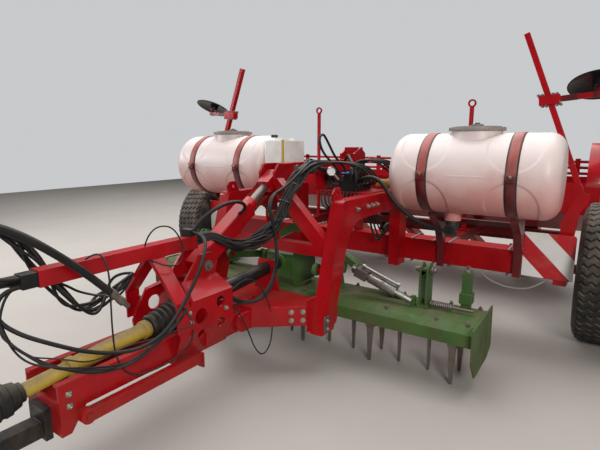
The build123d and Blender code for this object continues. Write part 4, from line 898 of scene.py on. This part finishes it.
BUNDLE = [
    (0.138, -1.37, 0.925), (0.165, -1.22, 0.945), (0.19, -1.10, 1.01),
    (0.215, -1.01, 1.11), (0.225, -0.93, 1.24), (0.225, -0.83, 1.33), (0.21, -0.70, 1.40),
]
for number in range(20):
    lane, layer = (number % 4 - 1.3) * 0.016, (number // 4 - 1.5) * 0.0125
    start = [
        (lane, -1.68, 1.004 + layer), (0.01 + lane, -1.61, 1.006 + layer),
        (0.060 + lane, -1.56, 1.032 + layer * 0.7), (0.112 + lane, -1.50, 0.985 + layer),
    ]
    y = VALVE_Y + VALVE_STEP * (number % 5)
    if number < 5 or number == 12:
        finish = [
            (0.18, -0.52, 1.42), (0.15, y - 0.08, 1.36), (0.16, y, 1.27), (0.195, y, PORT_Z),
            (0.233, y, PORT_Z),
        ]
    elif number % 5 > 1:
        finish = [
            (0.27, -0.50, 1.46), (0.40, y - 0.12, 1.43), (0.475, y - 0.02, 1.34), (0.475, y, 1.262),
            (0.427, y, PORT_Z),
        ]
    else:
        finish = [(0.10, -0.50, 1.455 + lane), (0.02 + lane, -0.30, 1.444), (0.02 + lane, 0.10, 1.440)]
    points = start + shifted(BUNDLE, 0.048, 0) + finish
    radius = (0.0074, 0.0062, 0.0095)[number % 3]
    crossing(f"feed_hose_{number + 1:02d}", points, radius)
ties = []
for place, aim in (((0.222, -0.97, 1.18), (0.1, 0.5, 0.9)), ((0.222, -0.88, 1.29), (0, 0.7, 0.8))):
    ties.append(turned([(0, 0.052), (0, 0.056), (0.007, 0.056), (0.007, 0.052)], place, aim, 20, True))
piece("cable_ties", *gather(ties), "frame", black_plastic, "boot_rubber")
NOSE_LOOP = [
    (0.19, -1.545, 0.66), (0.19, -1.47, 0.60), (0.205, -1.38, 0.56), (0.235, -1.28, 0.565),
    (0.255, -1.19, 0.64), (0.265, -1.14, 0.77), (0.265, -1.14, 0.93), (0.26, -1.16, 1.06),
    (0.24, -1.19, 1.17), (0.22, -1.13, 1.25), (0.23, -1.00, 1.29), (0.24, -0.86, 1.37),
    (0.22, -0.70, 1.44), (0.14, -0.52, 1.462), (0.05, -0.30, 1.445),
]
for number in range(2):
    points = shifted(NOSE_LOOP, 0.03 * number)
    crossing(f"nose_loop_{number + 1}", points, 0.0115 - 0.004 * number)
LIFT_HOSE = [
    (0.030, -1.67, 1.042), (0.035, -1.66, 1.09), (0.08, -1.60, 1.17), (0.13, -1.48, 1.23),
    (0.14, -1.36, 1.23), (0.12, -1.28, 1.19), (0.09, -1.27, 1.15), (0.057, -1.28, 1.13),
]
crossing("lift_hose", LIFT_HOSE, 0.012)
print("feed hoses done")

# %% [markdown]
# ## Loops at the beam's front
# The tractor's hoses leave the rubber end of the beam, bow forward and come back over and under it to the
# plates that hold them. A thin cable and two small loops hang among them.

# %% Front loops
BEAM_FRONT = -2.651
FAR_LOOP = [
    (-0.015, BEAM_FRONT, 1.00), (-0.02, -2.76, 1.00), (-0.03, -2.86, 1.06), (-0.05, -2.90, 1.17),
    (-0.07, -2.85, 1.27), (-0.09, -2.74, 1.29), (-0.11, -2.62, 1.20), (-0.12, -2.52, 1.03),
    (-0.14, -2.42, 0.84), (-0.15, -2.30, 0.74), (-0.15, -2.16, 0.74), (-0.145, -2.05, 0.81),
    (-0.14, -1.987, 0.855),
]
for number in range(8):
    points = shifted(FAR_LOOP, 0.045 + 0.004 * number)
    points[0] = (-0.024 + 0.006 * number, BEAM_FRONT, 0.985 + 0.005 * number)
    points[1] = (points[0][0], -2.72, points[0][2])
    hose(f"far_loop_{number + 1}", points, 0.0085 if number % 2 else 0.0065, "drawbar")
NEAR_LOOP = [
    (0.0, BEAM_FRONT, 0.975), (0.01, -2.73, 0.965), (0.05, -2.78, 0.86), (0.12, -2.74, 0.74),
    (0.185, -2.62, 0.64), (0.225, -2.46, 0.56), (0.25, -2.28, 0.53), (0.27, -2.12, 0.57),
    (0.285, -2.02, 0.65), (0.275, -1.95, 0.69), (0.233, -1.94, 0.70),
]
for number in range(4):
    points = shifted(NEAR_LOOP, 0.02 * (number + 1))
    hose(f"near_loop_{number + 1}", points, 0.0065 - 0.001 * number, "drawbar")
CABLE = [
    (0.038, -2.36, 1.046), (0.12, -2.34, 1.10), (0.195, -2.34, 1.03), (0.20, -2.345, 0.88),
    (0.20, -2.35, 0.72), (0.20, -2.344, 0.57), (0.205, -2.29, 0.45), (0.215, -2.16, 0.42),
    (0.225, -2.02, 0.43), (0.235, -1.91, 0.47), (0.233, -1.88, 0.53), (0.221, -1.87, 0.55),
]
hose("lamp_cable", CABLE, 0.0042, "drawbar")
OVER_LOOP = [
    (0.036, -2.02, 1.044), (0.07, -2.03, 1.10), (0.10, -1.98, 1.16), (0.11, -1.88, 1.14),
    (0.12, -1.82, 1.02), (0.14, -1.86, 0.92), (0.13, -1.95, 0.93), (0.09, -1.99, 0.955),
    (0.05, -2.00, 0.962), (0.02, -2.00, 0.959),
]
hose("over_loop", OVER_LOOP, 0.0042, "drawbar")
THIN_LOOP = [
    (0.21, -1.545, 0.62), (0.24, -1.50, 0.54), (0.27, -1.45, 0.40), (0.285, -1.41, 0.27),
    (0.29, -1.34, 0.19), (0.295, -1.26, 0.23), (0.29, -1.22, 0.36), (0.28, -1.24, 0.52),
    (0.26, -1.30, 0.66), (0.235, -1.38, 0.74), (0.21, -1.47, 0.72), (0.20, -1.545, 0.68),
]
hose("thin_loop", THIN_LOOP, 0.0045, "drawbar")
print("front loops done")

# %% [markdown]
# ## Loops round the valves
# Behind the valves a few hoses rise, lean over and come down to the toolbar, and short ones sag at the
# front of the shelf. Hoses of one row are alike, so a row is one list of points that moves along. The
# thickest one joins the left tank's drain to the valves.

# %% Shelf loops
for number in range(4):
    y = -0.18 + 0.06 * number
    x = 0.50 + 0.02 * number
    points = [
        (0.30, y, 1.352), (0.32, y, 1.42), (0.40, y + 0.05, 1.47), (x, y + 0.18, 1.44),
        (x + 0.03, 0.30, 1.26), (x + 0.02, 0.42, 1.02), (x, 0.46, 0.88), (x, 0.47, 0.762),
    ]
    hose(f"rear_loop_{number + 1}", points, 0.0085, "frame")
for number in range(4):
    x, low = 0.27 + 0.03 * number, 0.70 + 0.03 * number
    points = [
        (x, 0.05, 1.208), (x, 0.09, 1.17), (x + 0.01, 0.17, 1.08), (x + 0.03, 0.23, 0.92),
        (x + 0.06, 0.26, low + 0.06), (x + 0.10, 0.27, low), (x + 0.14, 0.27, low + 0.05),
        (x + 0.15, 0.31, low + 0.14), (x + 0.15, 0.38, 0.86), (x + 0.14, 0.44, 0.82),
        (x + 0.13, 0.46, 0.762),
    ]
    hose(f"sag_loop_{number + 1}", points, 0.0095 - 0.001 * number, "frame")
UP_LOOP = [
    (0.28, -0.30, 1.352), (0.27, -0.36, 1.42), (0.24, -0.50, 1.52), (0.235, -0.56, 1.63),
    (0.23, -0.49, 1.68), (0.24, -0.42, 1.60), (0.26, -0.34, 1.48), (0.30, -0.24, 1.40),
    (0.30, -0.24, 1.352),
]
hose("up_loop", UP_LOOP, 0.0095, "frame")
BOARD_HOSE = [
    (1.28, 0.40, 0.54), (1.30, 0.37, 0.50), (1.42, 0.352, 0.45), (1.56, 0.35, 0.435), (1.68, 0.355, 0.46),
    (1.76, 0.375, 0.53),
]
hose("board_hose", BOARD_HOSE, 0.007, "frame", grey_hose)
for number in range(7):
    x = 0.12 + 0.035 * number
    points = [
        (x, -0.312, 1.212), (x + 0.01, -0.345, 1.19), (x + 0.03, -0.375, 1.12),
        (x + 0.07, -0.38, 1.07 + 0.01 * number), (x + 0.11, -0.37, 1.08), (x + 0.14, -0.35, 1.16),
        (x + 0.14, -0.312, 1.212),
    ]
    hose(f"shelf_loop_{number + 1}", points, 0.0075 if number % 2 else 0.0055, "frame")
SUCTION = [
    (0.404, -0.20, 1.29), (0.45, -0.24, 1.32), (0.56, -0.27, 1.34), (0.66, -0.31, 1.30),
    (0.76, -0.31, 1.16), (0.90, -0.24, 1.02), (1.02, -0.12, 0.95), (1.08, -0.03, 0.925),
    (1.10, 0.012, 0.92),
]
hose("suction_hose", SUCTION, 0.016, "frame")
FITTED = [
    (0.055, 0.16, 1.42), (0.10, 0.14, 1.47), (0.18, 0.02, 1.50), (0.28, -0.14, 1.48), (0.38, -0.24, 1.41),
    (0.42, -0.27, 1.33), (0.40, -0.262, 1.27),
]
hose("fitted_hose", FITTED, 0.012, "frame")
print("shelf loops done")

# %% [markdown]
# ## Floor and light
# A plain pale floor and wide soft lamps show the surfaces without hiding the shapes. Most of the light
# comes from above, the rest from both sides of the camera.

# %% Floor and light
floor_mesh = bpy.data.meshes.new("floor")
floor_mesh.from_pydata([(-14, -9, 0), (14, -9, 0), (14, 16, 0), (-14, 16, 0)], [], [(0, 1, 2, 3)])
floor = bpy.data.objects.new("floor", floor_mesh)
bpy.context.collection.objects.link(floor)
ground = Look("pale_floor")
patch = ground.noise(0.9, 5.0)
ground.wear(Base_Color=ground.mix(patch, (0.42, 0.39, 0.36), (0.34, 0.31, 0.28)))
ground.wear(Roughness=patch * 0.2 + 0.6)
floor_mesh.materials.append(ground.material)


def lamp(name, place, aim, size, power, colour=(1.0, 1.0, 1.0)):
    light = bpy.data.lights.new(name, "AREA")
    light.shape = "RECTANGLE"
    light.size, light.size_y = size
    light.energy = power
    light.color = colour
    obj = bpy.data.objects.new(name, light)
    obj.location = place
    obj.rotation_euler = (Vector(aim) - Vector(place)).to_track_quat("-Z", "Y").to_euler()
    bpy.context.collection.objects.link(obj)


lamp("above", (-1.5, 3.0, 8.5), (-0.3, 1.5, 0), (13.0, 13.0), 1750)
lamp("front_left", (6.0, -6.5, 4.0), (0, -0.5, 0.8), (2.6, 2.0), 430, (1.0, 0.98, 0.95))
lamp("front_right", (-6.5, -3.0, 3.2), (0, 0, 1.0), (2.6, 2.0), 190, (0.94, 0.97, 1.0))
world = bpy.data.worlds.new("pale_sky")
world.use_nodes = True
sky = world.node_tree.nodes["Background"]
sky.inputs["Color"].default_value = (0.80, 0.82, 0.84, 1.0)
seen = world.node_tree.nodes.new("ShaderNodeLightPath")
strength = world.node_tree.nodes.new("ShaderNodeMapRange")
strength.inputs["To Min"].default_value = 0.17
strength.inputs["To Max"].default_value = 0.72
world.node_tree.links.new(seen.outputs["Is Camera Ray"], strength.inputs["Value"])
world.node_tree.links.new(strength.outputs["Result"], sky.inputs["Strength"])
bpy.context.scene.world = world
bpy.context.scene.view_settings.view_transform = "Standard"
bpy.context.scene.view_settings.look = "None"
print("stage ready")
